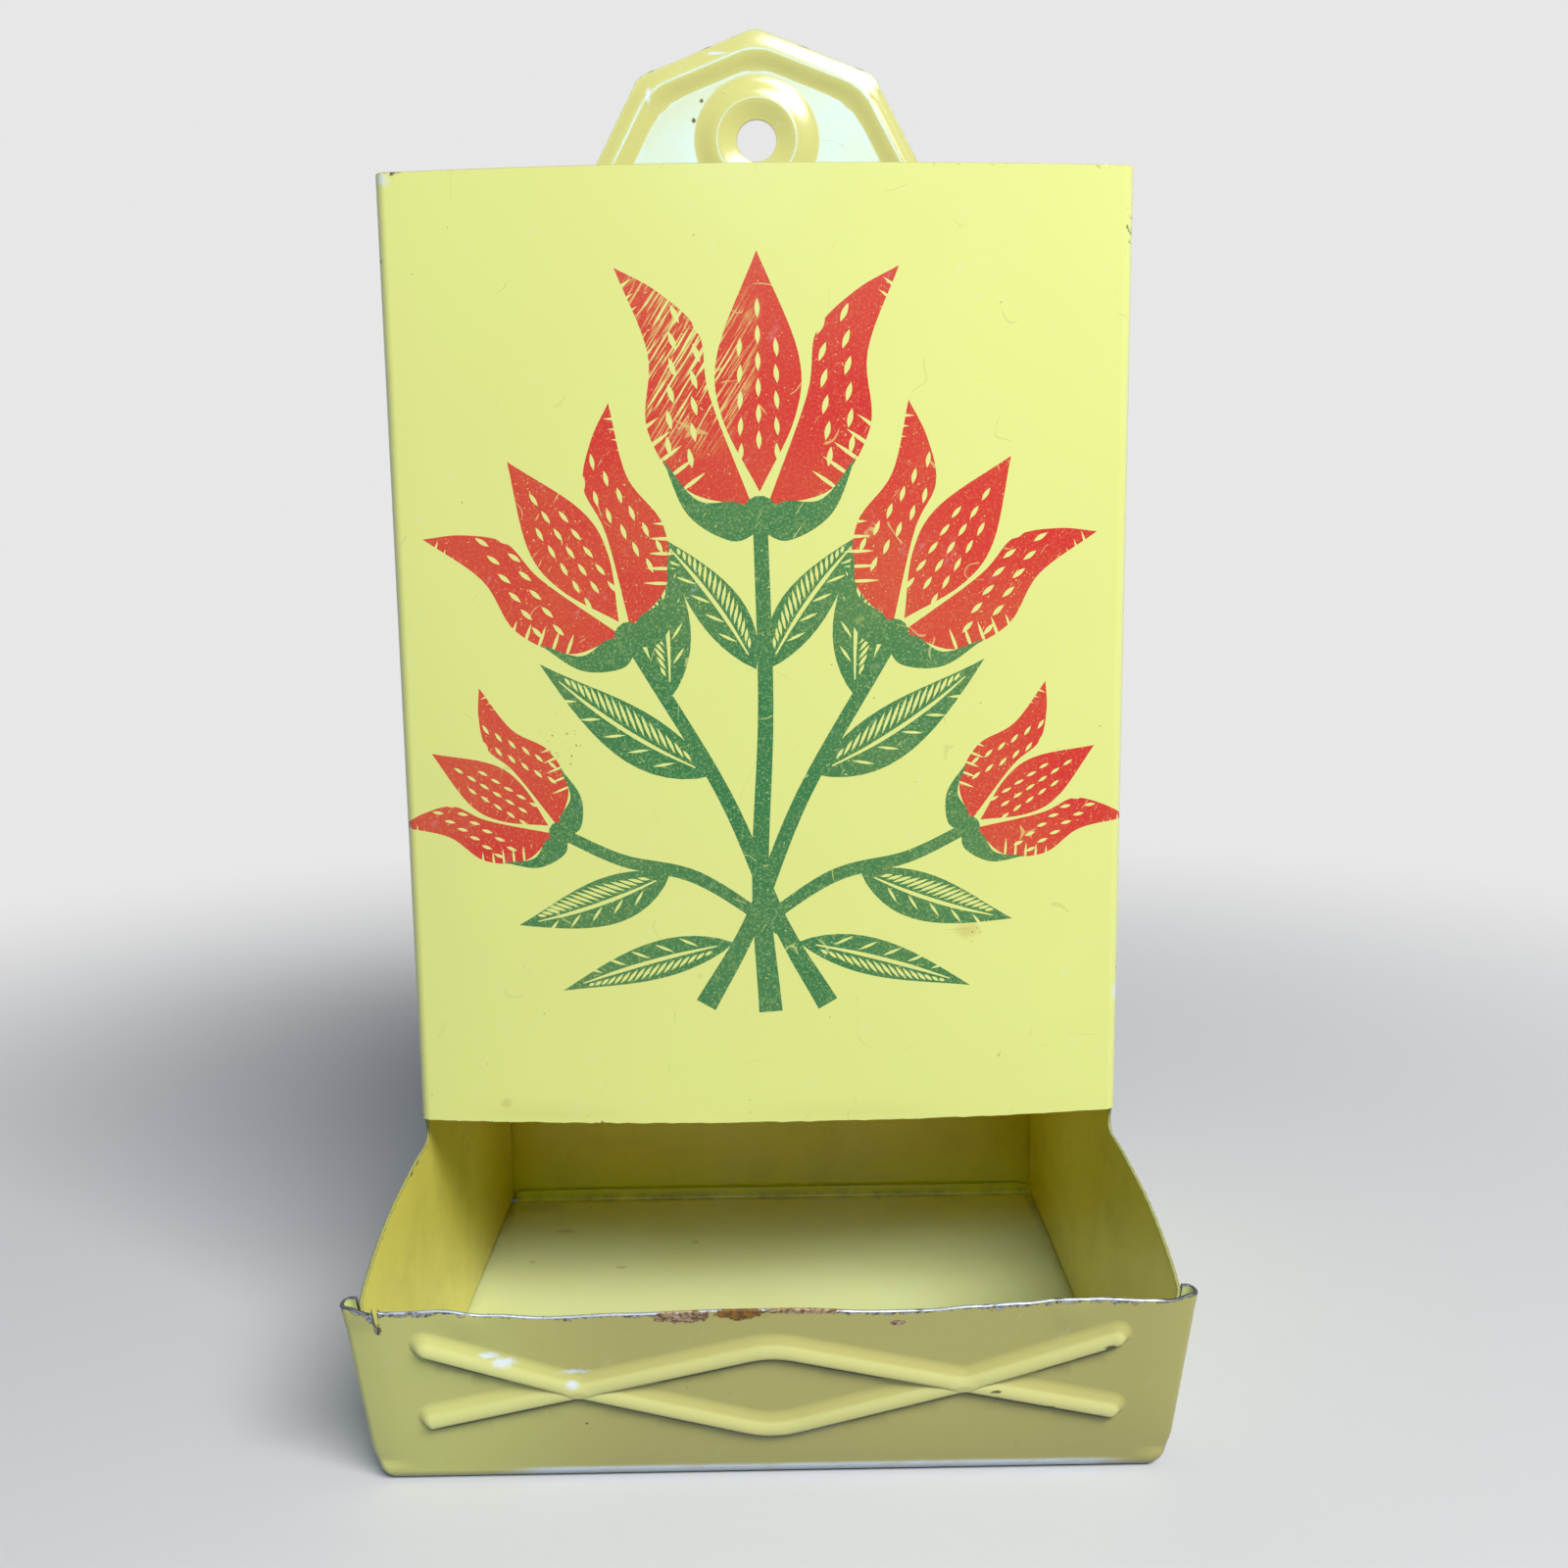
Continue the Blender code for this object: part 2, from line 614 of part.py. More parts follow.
def tray_side_x(s):
    """Half width of the strip where its side rolls begin: over the tips of the wall's flanges."""
    spot = strip_frame(s)[0]
    if s <= 0:
        stand_out = flare(spot.y, WALL_FOOT_Z)
    else:
        stand_out = full_flare(max(spot.z, WALL_FOOT_Z))
    share = min(abs(s - FOOT_ARC / 2) / CORNER_DIP_LENGTH, 1)
    return FLANGE_TIP_X + stand_out - CORNER_DIP * (1 - share) ** 2


def tray_side_path():
    """(x, s) along the right side from the floor's rear to the apron's top."""
    crease_s = FLOOR_FRONT_Y - CREASE_FOOT.x
    middle = FOOT_ARC / 2
    dip_start, dip_end = middle - CORNER_DIP_LENGTH, middle + CORNER_DIP_LENGTH
    stations = [FLOOR_REAR_S, crease_s]
    stations += [mix(dip_start, 0, step / CURVE_STEPS) for step in range(CURVE_STEPS)]
    stations += [FOOT_ARC * step / BEND_STEPS for step in range(BEND_STEPS + 1)]
    stations += [mix(FOOT_ARC, dip_end, step / CURVE_STEPS) for step in range(1, CURVE_STEPS + 1)]
    path = [Vector((tray_side_x(s), s)) for s in stations]
    top_x = tray_side_x(FOOT_ARC + APRON_HEIGHT)
    return path, top_x


def tray():
    shell = bmesh.new()
    path, top_x = tray_side_path()
    right = [*path, Vector((top_x, apron_top_s(top_x)))]
    left = [*(Vector((-p.x, p.y)) for p in path), Vector((-top_x, apron_top_s(-top_x)))]
    wave_steps = 2 * CURVE_STEPS * len(EDGE_WAVE_SHARES)
    top = []
    for step in range(1, wave_steps):
        x = mix(top_x, -top_x, step / wave_steps)
        top.append(Vector((x, apron_top_s(x))))
    lip_s = FLOOR_REAR_S - LIP_ARC - (LIP_HEIGHT - BEND_RADIUS - HALF_SHEET)
    lip = [
        Vector((-LIP_HALF_WIDTH, FLOOR_REAR_S)),
        Vector((-LIP_HALF_WIDTH, lip_s)),
        Vector((LIP_HALF_WIDTH, lip_s)),
        Vector((LIP_HALF_WIDTH, FLOOR_REAR_S)),
    ]
    outline = [*right, *top, *reversed(left), *round_corners(lip, LIP_CORNER, CURVE_STEPS)]

    creases = []
    for point in path:
        if 0 <= point.y <= FOOT_ARC:
            creases.append([Vector((-point.x, point.y)), point])
    for step in range(BEND_STEPS + 1):
        s = FLOOR_REAR_S - LIP_ARC * step / BEND_STEPS
        creases.append([Vector((-LIP_HALF_WIDTH, s)), Vector((LIP_HALF_WIDTH, s))])
    ribs = rib_lines()
    rise = Vector((0, FOOT_ARC - FOOT_TANGENT))
    for rib in ribs:
        spine = divide(rib[:2], END_RIB_STEPS) + divide(rib[1:-1], MIDDLE_RIB_STEPS)[1:]
        spine += divide(rib[-2:], END_RIB_STEPS)[1:]
        creases.append([point + rise for point in spine])
        for share in RIB_LINE_SHARES:
            loop = around_rib(spine, share, BEND_STEPS)
            creases.append([point + rise for point in loop + loop[:1]])

    half = top_x + SEAM_PITCH

    def place(point):
        spot, _, inward = strip_frame(point.y)
        spot.x = point.x
        height = slope_height(point.y)
        if point.y > FOOT_ARC:
            spot.y -= APRON_BOW * (1 - (point.x / half) ** 2) * height / APRON_HEIGHT
            spot -= inward * rib_lift(point.x, height, ribs)
        return spot

    sheet = add_sheet(shell, [outline], creases, place)
    roll = roll_profile()
    for side, border in ((1, right), (-1, left)):
        run = edge_run(sheet, border)
        flats = [point for point, _ in run]
        outs, deeps = [], []
        for before, point, after in zip([flats[0], *flats], flats, [*flats[1:], flats[-1]]):
            along = (after - before).normalized()
            _, forward, inward = strip_frame(point.y)
            outs.append(side * (Vector((along.y, 0, 0)) - forward * along.x))
            deeps.append(inward)
        steps = []
        for start, end in zip(flats, flats[1:]):
            middle_s = (start.y + end.y) / 2
            nipped = abs(middle_s - FOOT_ARC / 2) < CORNER_DIP_LENGTH
            steps.append(ROLL_STEPS // 2 if nipped else len(roll))
        bend_edge(shell, [vert for _, vert in run], outs, deeps, roll, steps)
    return sheet_metal("tray", shell)


def main():
    for old in list(bpy.data.objects):
        bpy.data.objects.remove(old)
    body_wrap()
    back_panel()
    tray()


main()
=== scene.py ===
"""A wall match holder in lacquered tinplate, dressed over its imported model.

Lengths are in millimetres here and become metres where a mesh is made. Every sheet is a flat
pattern that is triangulated, bent by its own place function and given its thickness, with a
rounded bare edge. Materials are procedural.
"""

import math
import random
from functools import cached_property

import bpy
import numpy as np
from mathutils import Matrix, Vector, kdtree
from mathutils.geometry import delaunay_2d_cdt

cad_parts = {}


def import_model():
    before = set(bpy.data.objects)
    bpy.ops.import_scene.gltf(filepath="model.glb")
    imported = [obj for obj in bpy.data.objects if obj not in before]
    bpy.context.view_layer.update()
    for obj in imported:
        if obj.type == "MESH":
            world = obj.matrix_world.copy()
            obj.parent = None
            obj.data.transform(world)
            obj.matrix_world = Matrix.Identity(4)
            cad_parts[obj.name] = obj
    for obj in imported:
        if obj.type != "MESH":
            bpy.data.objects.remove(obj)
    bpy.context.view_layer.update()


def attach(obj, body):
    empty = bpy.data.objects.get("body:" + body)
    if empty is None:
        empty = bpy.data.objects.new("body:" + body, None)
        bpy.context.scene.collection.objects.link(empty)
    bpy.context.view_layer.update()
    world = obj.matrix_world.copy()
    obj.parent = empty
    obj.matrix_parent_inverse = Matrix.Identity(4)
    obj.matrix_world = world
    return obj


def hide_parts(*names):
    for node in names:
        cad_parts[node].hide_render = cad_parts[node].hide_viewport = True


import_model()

MM = 0.001
ACROSS = (1.0, 0.0, 0.0)
AHEAD = (0.0, 1.0, 0.0)
UP = np.array((0.0, 0.0, 1.0))

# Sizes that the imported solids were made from
SHEET = 0.4
SEAM_GAP = 0.3
BEND_RADIUS = 0.5
FLANGE_REACH = 0.75
BODY_WIDTH = 76.2
BODY_DEPTH = 51.1
PANEL_HEIGHT = 98.8
PANEL_BOW = 2.35
PANEL_CORNER_RADIUS = 1.1
MOUTH_HEIGHT = 32.3
RELIEF_DEPTH = 1.0
RELIEF_DROP = 3.2
CREASE_RUN = 10.5
WING_FLARE_TOP = 2.1
WING_FLARE_FOOT = 0.9
WING_CORNER = 3.0
WING_RISE = 0.2
FLANGE_DROP = 0.8
RELIEF_SHARES = ((0.5, 0.18), (0.95, 0.5), (0.8, 0.82))
WING_EDGE_SHARES = ((0.14, 0.06), (0.3, 0.17), (0.51, 0.33), (0.71, 0.55), (0.89, 0.8))
FOOT_REACH = 15.77
FOOT_RADIUS = 1.5
APRON_HEIGHT = 21.1
APRON_LEAN = math.radians(13)
APRON_BOW = 0.5
LIP_HEIGHT = 1.9
LIP_CORNER = 1.0
CORNER_DIP = 1.4
CORNER_DIP_LENGTH = 4.2
EDGE_WAVE = 0.6
EDGE_WAVE_SHARES = (
    (-1, 1.3), (-0.94, 0.1), (-0.87, 0.2), (-0.78, 0.55), (-0.66, -0.4), (-0.53, -1.0), (-0.35, -0.5),
    (-0.1, 0), (0.06, 0), (0.25, -0.7), (0.37, -0.7), (0.48, -0.1), (0.6, 0.3), (0.69, 0.9),
    (0.77, 0.85), (0.9, 0.25), (0.95, 0), (1, 0.8),
)
RIB_WIDTH = 2.8
RIB_LIFT = 0.8
LATTICE_REACH = 33.8
CROSSING_REACH = 19.05
CROSSING_HEIGHT = 11.3
LATTICE_TOP = 16.15
LATTICE_BOTTOM = 5.65
RIB_END_TOP = 16.6
RIB_END_BOTTOM = 7.6
RIB_TURN_RADIUS = 9.0
TAB_HEIGHT = 30.5
TAB_FOOT_REACH = 28.6
TAB_SHOULDER_REACH = 15.5
TAB_SHOULDER_HEIGHT = 24.5
TAB_CORNER_RADIUS = 2.5
RIM_CREST_INSET = 1.9
RIM_EDGE_SHARE = 0.55
RIM_FADE_START = 1.0
RIM_FADE_LENGTH = 5.0
HOLE_RADIUS = 2.63
HOLE_HEIGHT = 16.5
RING_CREST_RADIUS = 5.1

# Embossing that is finer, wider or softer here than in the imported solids
RIB_SKEW = 0.8
RIB_UNDERCUT = 0.52
RIB_UNION = 0.4
RIB_UNION_TOP = 1.04
RIM_FOOT_INSET = 4.6
RIM_LIFT = 0.5
RING_FOOT_RADIUS = 8.4
RING_LIFT = 0.6

# Lengths that follow from these
SEAM_PITCH = SHEET + SEAM_GAP
HALF_SHEET = SHEET / 2
HALF_WALL = BODY_WIDTH / 2 - HALF_SHEET
FLANGE_TIP_X = HALF_WALL + HALF_SHEET + FLANGE_REACH
LIP_HALF_WIDTH = HALF_WALL - HALF_SHEET - SEAM_GAP
WING_SETBACK = SEAM_PITCH + BEND_RADIUS
BODY_TOP = MOUTH_HEIGHT + PANEL_HEIGHT
FOOT_TURN = math.pi / 2 - APRON_LEAN
APRON_REACH = FOOT_REACH + APRON_HEIGHT * math.sin(APRON_LEAN) + APRON_BOW
WALL_FACE_Y = (BODY_DEPTH + APRON_REACH + HALF_SHEET) / 2
FRONT_LINE_Y = WALL_FACE_Y - BODY_DEPTH
FOOT_Y = FRONT_LINE_Y - FOOT_REACH
BACK_Y = WALL_FACE_Y - HALF_SHEET
WALL_REAR_Y = BACK_Y - SEAM_PITCH - BEND_RADIUS
WALL_FOOT_Z = HALF_SHEET + WING_SETBACK
REAR_SEAM_Z = SHEET + 2 * SEAM_PITCH + SEAM_GAP
BOW_RADIUS = (HALF_WALL**2 + PANEL_BOW**2) / (2 * PANEL_BOW)
BOW_CENTRE_Y = FRONT_LINE_Y + HALF_SHEET - PANEL_BOW + BOW_RADIUS
PANEL_CORNER_X = HALF_WALL - PANEL_CORNER_RADIUS
PANEL_CORNER_Y = BOW_CENTRE_Y - math.sqrt((BOW_RADIUS - PANEL_CORNER_RADIUS)**2 - PANEL_CORNER_X**2)
HALF_SPAN = math.asin(PANEL_CORNER_X / (BOW_RADIUS - PANEL_CORNER_RADIUS))
BOW_ARC = BOW_RADIUS * HALF_SPAN
CORNER_S = BOW_ARC + PANEL_CORNER_RADIUS * (math.pi / 2 - HALF_SPAN)
CREASE_TOP = (PANEL_CORNER_Y, MOUTH_HEIGHT - RELIEF_DROP)
CREASE_FOOT = (PANEL_CORNER_Y + CREASE_RUN, WALL_FOOT_Z)
FOOT_ARC = FOOT_RADIUS * FOOT_TURN
FOOT_TANGENT = FOOT_RADIUS * math.tan(FOOT_TURN / 2)
FLOOR_FRONT_Y = FOOT_Y + FOOT_TANGENT
FLOOR_REAR_S = FLOOR_FRONT_Y - WALL_REAR_Y
LIP_ARC = BEND_RADIUS * math.pi / 2

# Marks of use and of hand work
TEAR_X = 38.3
TEAR_CLEAR = 0.3
TEAR_GAPE = 0.3
TEAR_SHAPE = ((0.28, 0.35), (0.2, -0.5), (0.02, -2.3), (-0.13, -1.2), (-0.16, 0.0), (-0.26, 0.5))
FIELD_LEAN = 4.0
FIELD_FLATNESS = 0.995
CROWN_DROP = 0.3
CROWN_REACH = 3.6
BUMP_PLACE = (29.4, 19.9)
BUMP_LIFT = 0.16
BUMP_RADIUS = 3.2
MITRE_ROUND = 1.8
EDGE_DENT = 0.09
MOUTH_WAVER = 0.05
PANEL_WAVES = (0.07, 0.05)
LIP_WAVE = 0.05
LIP_FOLD = 2.2
FLOOR_SLACK = 0.03
CREASE_SOFT = 0.6

# How fine the meshes are
TINY = 1e-3
SMALLEST = 1e-12
NEAR = 0.01
NORMAL_REACH = 0.02
STEP = 1.5
EDGE_ROWS = 4
EDGE_ROUND = 0.07
LEG_STEPS = 2
DOT_PITCH = 3.0
WALL_PITCH = 2.6
APRON_PITCH = (1.8, 1.5)
RIM_LINE_INSETS = (0.45, 0.9, 1.3, 1.6, 1.9, 2.1, 2.4, 2.8, 3.2, 3.6, 4.0, 4.3, 4.6, 5.2)
CREASE_LINE_SHIFTS = (-1.6, -0.8, -0.4, 0, 0.4, 0.8, 1.6)
MOUTH_LINE_HEIGHTS = (0.5, 1.0, 1.5, 2.0)
TICK_STEPS = 5
OUTLINE_STEPS = 7
WEAR_REACH = 1.5


# Curves

def mix(a, b, t):
    return a + (b - a) * t


def ease(t):
    return (1 - np.cos(np.pi * np.clip(t, 0, 1))) / 2


def vec(*xy):
    return np.array(xy, float)


def unit(v):
    v = np.asarray(v, float)
    return v / np.maximum(np.linalg.norm(v, axis=-1, keepdims=True), SMALLEST)


def right_of(v):
    """The vector turned a quarter to the right."""
    return vec(v[1], -v[0])


def headings(line):
    """The direction of a line at each of its points."""
    return [unit(after - before) for before, after in zip([line[0], *line], [*line[1:], line[-1]])]


def smooth_through(points, steps):
    """A curve through the points, with a fixed number of steps between each pair."""
    points = np.array(points, float)
    ends = [points[0] * 2 - points[1], *points, points[-1] * 2 - points[-2]]
    curve = [points[0]]
    for p0, p1, p2, p3 in zip(ends, ends[1:], ends[2:], ends[3:]):
        for step in range(1, steps + 1):
            t = step / steps
            bend = (p2 - p0) * t + (2 * p0 - 5 * p1 + 4 * p2 - p3) * t**2
            bend = bend + (3 * p1 - p0 - 3 * p2 + p3) * t**3
            curve.append(p1 + bend / 2)
    return curve


def round_corners(points, radius, steps):
    """The open line with an arc of this radius at every inner corner."""
    points = np.array(points, float)
    line = [points[0]]
    for before, corner, after in zip(points, points[1:], points[2:]):
        back, ahead = unit(before - corner), unit(after - corner)
        half_angle = math.acos(max(min(float(back @ ahead), 1), -1)) / 2
        centre = corner + unit(back + ahead) * (radius / math.sin(half_angle))
        start = corner + back * (radius / math.tan(half_angle)) - centre
        sweep = math.pi - 2 * half_angle
        turn = math.copysign(sweep, back[0] * ahead[1] - back[1] * ahead[0])
        for step in range(steps + 1):
            cos, sin = math.cos(-turn * step / steps), math.sin(-turn * step / steps)
            line.append(centre + vec(start[0] * cos - start[1] * sin, start[0] * sin + start[1] * cos))
    return [*line, points[-1]]


def subdivide(points, step=STEP):
    """The line with points added so that no stretch is longer than step."""
    points = np.array(points, float)
    line = [points[0]]
    for a, b in zip(points, points[1:]):
        count = max(1, math.ceil(np.linalg.norm(b - a) / step - TINY))
        line += [mix(a, b, i / count) for i in range(1, count + 1)]
    return line


def circle(centre, radius, steps):
    return [vec(centre[0] + radius * math.cos(a), centre[1] + radius * math.sin(a))
            for a in (2 * math.pi * i / steps for i in range(steps))]


def mirrored(points):
    return [vec(-p[0], p[1]) for p in reversed(points)]


def within(points, loop):
    """Which points lie inside a closed loop."""
    x, y = points[:, 0], points[:, 1]
    odd = np.zeros(len(points), bool)
    loop = np.asarray(loop)
    for (ax, ay), (bx, by) in zip(loop, np.roll(loop, -1, axis=0)):
        if ay != by:
            odd ^= ((ay > y) != (by > y)) & (x < ax + (bx - ax) * (y - ay) / (by - ay))
    return odd


def to_polyline(points, line):
    """Distance of each point to a polyline."""
    best = np.full(len(points), np.inf)
    for a, b in zip(line, line[1:]):
        along = np.subtract(b, a)
        t = np.clip((points - a) @ along / (along @ along), 0, 1)
        best = np.minimum(best, np.linalg.norm(points - a - t[:, None] * along, axis=1))
    return best


# Sheets

def add(name, data):
    """Puts an object with this data in the scene."""
    piece = bpy.data.objects.new(name, data)
    bpy.context.scene.collection.objects.link(piece)
    return piece


def level_line(reach, height, inset, step):
    """A line across the pattern at one height, from side to side but for the insets."""
    return subdivide([(inset - reach, height), (reach - inset, height)], step)


def inner_dots(dots, loop, clear):
    """The dots that lie inside a loop, clear of its edge."""
    dots, loop = np.array(dots), np.array(loop)
    dots = dots[within(dots, loop)]
    return dots[to_polyline(dots, np.vstack([loop, loop[:1]])) > clear]


class Sheet:
    """A bent mid-surface: spots, the normal at each and painted faces. solid() thickens it."""

    def __init__(self):
        self.spots, self.normals = [], []
        self.faces, self.paints = [], []
        self.flat = []

    def pattern(self, loops, lines, dots, place, shapes=()):
        """Adds a flat pattern.

        lines become edges, dots become points, and shapes are (loop, paint), the last on top.
        """
        points, edges = [], []
        closed = [(loop, True) for loop in loops] + [(loop, True) for loop, _ in shapes]
        for line, shut in closed + [(line, False) for line in lines]:
            first = len(points)
            points += [Vector(p) for p in line]
            edges += [(first + i, first + i + 1) for i in range(len(line) - 1)]
            if shut:
                edges.append((len(points) - 1, first))
        points += [Vector(p) for p in dots]
        found, _, faces, *_ = delaunay_2d_cdt(points, edges, [], 0, TINY)
        flat = np.array([tuple(p) for p in found])
        faces = np.array(faces)
        centres = flat[faces].mean(axis=1)
        kept = np.zeros(len(faces), bool)
        for loop in loops:
            kept ^= within(centres, loop)
        faces, centres = faces[kept], centres[kept]
        paints = np.zeros(len(faces), int)
        for loop, paint in shapes:
            low, high = np.min(loop, axis=0), np.max(loop, axis=0)
            near = np.flatnonzero(((centres > low) & (centres < high)).all(axis=1))
            paints[near[within(centres[near], loop)]] = paint
        du, dv = (place(flat + reach, flat) - place(flat - reach, flat)
                  for reach in NORMAL_REACH * np.eye(2))
        self.spots = list(place(flat, flat))
        self.normals = list(unit(np.cross(du, dv)))
        self.flat = list(flat)
        self.faces = [tuple(face) for face in faces.tolist()]
        self.paints = list(paints)

    def run(self, path):
        """Indices of the pattern's points on a path of the flat pattern, in order."""
        flat = np.array(self.flat)
        used = np.zeros(len(flat), bool)
        used[[i for face in self.faces for i in face if i < len(flat)]] = True
        order = []
        for a, b in zip(path, path[1:]):
            along = unit(np.subtract(b, a))
            offset = flat - a
            reach = offset @ along
            off = np.linalg.norm(offset - reach[:, None] * along, axis=1)
            length = np.linalg.norm(np.subtract(b, a))
            hits = np.flatnonzero(used & (off < NEAR) & (reach > -NEAR) & (reach < length + NEAR))
            order += [i for i in hits[np.argsort(reach[hits])] if i not in order]
        return order

    def bend(self, run, outs, turns, profile, steps=None):
        """Carries a run of the edge on along outs, bending towards turns.

        profile is (along, towards, angle) rows, and steps how many of them each stretch takes.
        """
        near = list(run)
        outs, turns = np.broadcast_to(outs, (len(run), 3)), np.broadcast_to(turns, (len(run), 3))
        signs = [math.copysign(1, float(np.dot(self.normals[i], t))) for i, t in zip(run, turns)]
        for level, (along, towards, angle) in enumerate(profile):
            far = list(range(len(self.spots), len(self.spots) + len(run)))
            for i, o, t, s in zip(run, outs, turns, signs):
                self.spots.append(self.spots[i] + o * along + t * towards)
                self.normals.append(s * (t * math.cos(angle) - o * math.sin(angle)))
            for i in range(len(run) - 1):
                if steps is None or level < steps[i]:
                    self.faces.append((near[i], near[i + 1], far[i + 1], far[i]))
                    self.paints.append(PLAIN)
            near = far

    def solid(self, name, materials, backs, foot=()):
        """Makes the object. backs gives each paint's back face material.

        foot is how deep each of the pattern's points lies in the crease below a rib, if there are ribs.
        """
        spots, normals = np.array(self.spots), unit(np.array(self.normals))
        faces = []
        for face in self.faces:
            corners = spots[list(face)]
            facing = np.cross(corners[1] - corners[0], corners[2] - corners[1])
            agrees = facing @ normals[list(face)].sum(axis=0) > 0
            faces.append(face if agrees else face[::-1])
        edges = dict.fromkeys(edge for face in faces for edge in zip(face, face[1:] + face[:1]))
        border = [edge for edge in edges if edge[::-1] not in edges]
        out = {}
        for a, b in border:
            away = unit(np.cross(spots[b] - spots[a], normals[a] + normals[b]))
            out[a] = out.get(a, 0) + away
            out[b] = out.get(b, 0) + away
        count = len(spots)
        fronts, rears = spots + normals * HALF_SHEET, spots - normals * HALF_SHEET
        for i, away in out.items():
            out[i] = unit(away)
            fronts[i] -= out[i] * EDGE_ROUND
            rears[i] -= out[i] * EDGE_ROUND
        verts, vert_normals = [*fronts, *rears], [*normals, *-normals]
        feet = [*foot, *np.zeros(count - len(foot))] * 2
        # The rounded edge: rows of points from the front to the rear
        rows = {i: [i] for i in out}
        for step in range(1, EDGE_ROWS):
            angle = math.pi * step / EDGE_ROWS
            inset = EDGE_ROUND * (math.sin(angle) - 1)
            for i, away in out.items():
                rows[i].append(len(verts))
                feet.append(feet[i])
                verts.append(spots[i] + normals[i] * HALF_SHEET * math.cos(angle) + away * inset)
                vert_normals.append(normals[i] * math.cos(angle) + away * math.sin(angle))
        all_faces, slots = [], []
        for face, paint in zip(faces, self.paints):
            all_faces += [face, tuple(i + count for i in face[::-1])]
            slots += [paint, backs[paint]]
        for a, b in border:
            row_a, row_b = [*rows[a], a + count], [*rows[b], b + count]
            for near in range(EDGE_ROWS):
                all_faces.append((row_b[near], row_a[near], row_a[near + 1], row_b[near + 1]))
                slots.append(EDGE)
        used = np.unique([i for face in all_faces for i in face])
        renumber = {int(old): new for new, old in enumerate(used)}
        all_faces = [tuple(renumber[i] for i in face) for face in all_faces]
        verts, vert_normals = np.array(verts)[used], unit(np.array(vert_normals)[used])
        mesh = bpy.data.meshes.new(name)
        mesh.from_pydata((verts * MM).tolist(), [], all_faces)
        for surface in materials:
            mesh.materials.append(surface)
        mesh.polygons.foreach_set("material_index", slots)
        mesh.shade_smooth()
        tree = kdtree.KDTree(3 * len(border))
        for k, (a, b) in enumerate(border):
            for j in range(3):
                tree.insert(Vector(mix(spots[a], spots[b], j / 3)), 3 * k + j)
        tree.balance()
        values = {"rim": [min(tree.find(Vector(v))[2], WEAR_REACH) for v in verts]}
        if len(foot):
            values["rib_foot"] = np.array(feet)[used]
        for key, value in values.items():
            mesh.attributes.new(key, "FLOAT", "POINT").data.foreach_set("value", value)
        mesh.normals_split_custom_set_from_vertices(vert_normals.tolist())
        mesh.validate()
        return add(name, mesh)


def bend_profile(radius, angle, steps, leg):
    """(along, towards, angle) rows of a bend and the straight leg after it."""
    rows = [(radius * math.sin(a), radius * (1 - math.cos(a)), a)
            for a in (angle * i / steps for i in range(1, steps + 1))]
    end_along, end_towards, _ = rows[-1]
    for i in range(1, LEG_STEPS + 1):
        run = leg * i / LEG_STEPS
        rows.append((end_along + run * math.cos(angle), end_towards + run * math.sin(angle), angle))
    return rows


FLANGE = bend_profile(BEND_RADIUS, math.pi / 2, 8, FLANGE_REACH + HALF_SHEET - BEND_RADIUS)
ROLL = bend_profile(SEAM_PITCH, math.pi, 16, FLANGE_REACH - SEAM_GAP)
ROLL_QUARTER = 8


# Node materials

class Field:
    """A value in a node tree. Arithmetic with it adds nodes, and | takes the larger value."""

    def __init__(self, nodes, socket):
        self.nodes, self.socket = nodes, socket

    def __add__(self, other):
        return self.nodes.math("ADD", self, other)

    def __sub__(self, other):
        return self.nodes.math("SUBTRACT", self, other)

    def __rsub__(self, other):
        return self.nodes.math("SUBTRACT", other, self)

    def __mul__(self, other):
        return self.nodes.math("MULTIPLY", self, other)

    def __or__(self, other):
        return self.nodes.math("MAXIMUM", self, other)

    def __abs__(self):
        return self.nodes.math("ABSOLUTE", self)

    def clamp(self):
        """Keeps the result of the last sum or product within 0 and 1."""
        self.socket.node.use_clamp = True
        return self

    def ramp(self, low, high, start=0.0, end=1.0):
        """Maps low..high to start..end, smoothly and clamped."""
        node = self.nodes.make("MapRange", interpolation_type="SMOOTHSTEP")
        return self.nodes.feed(node, (self, low, high, start, end))


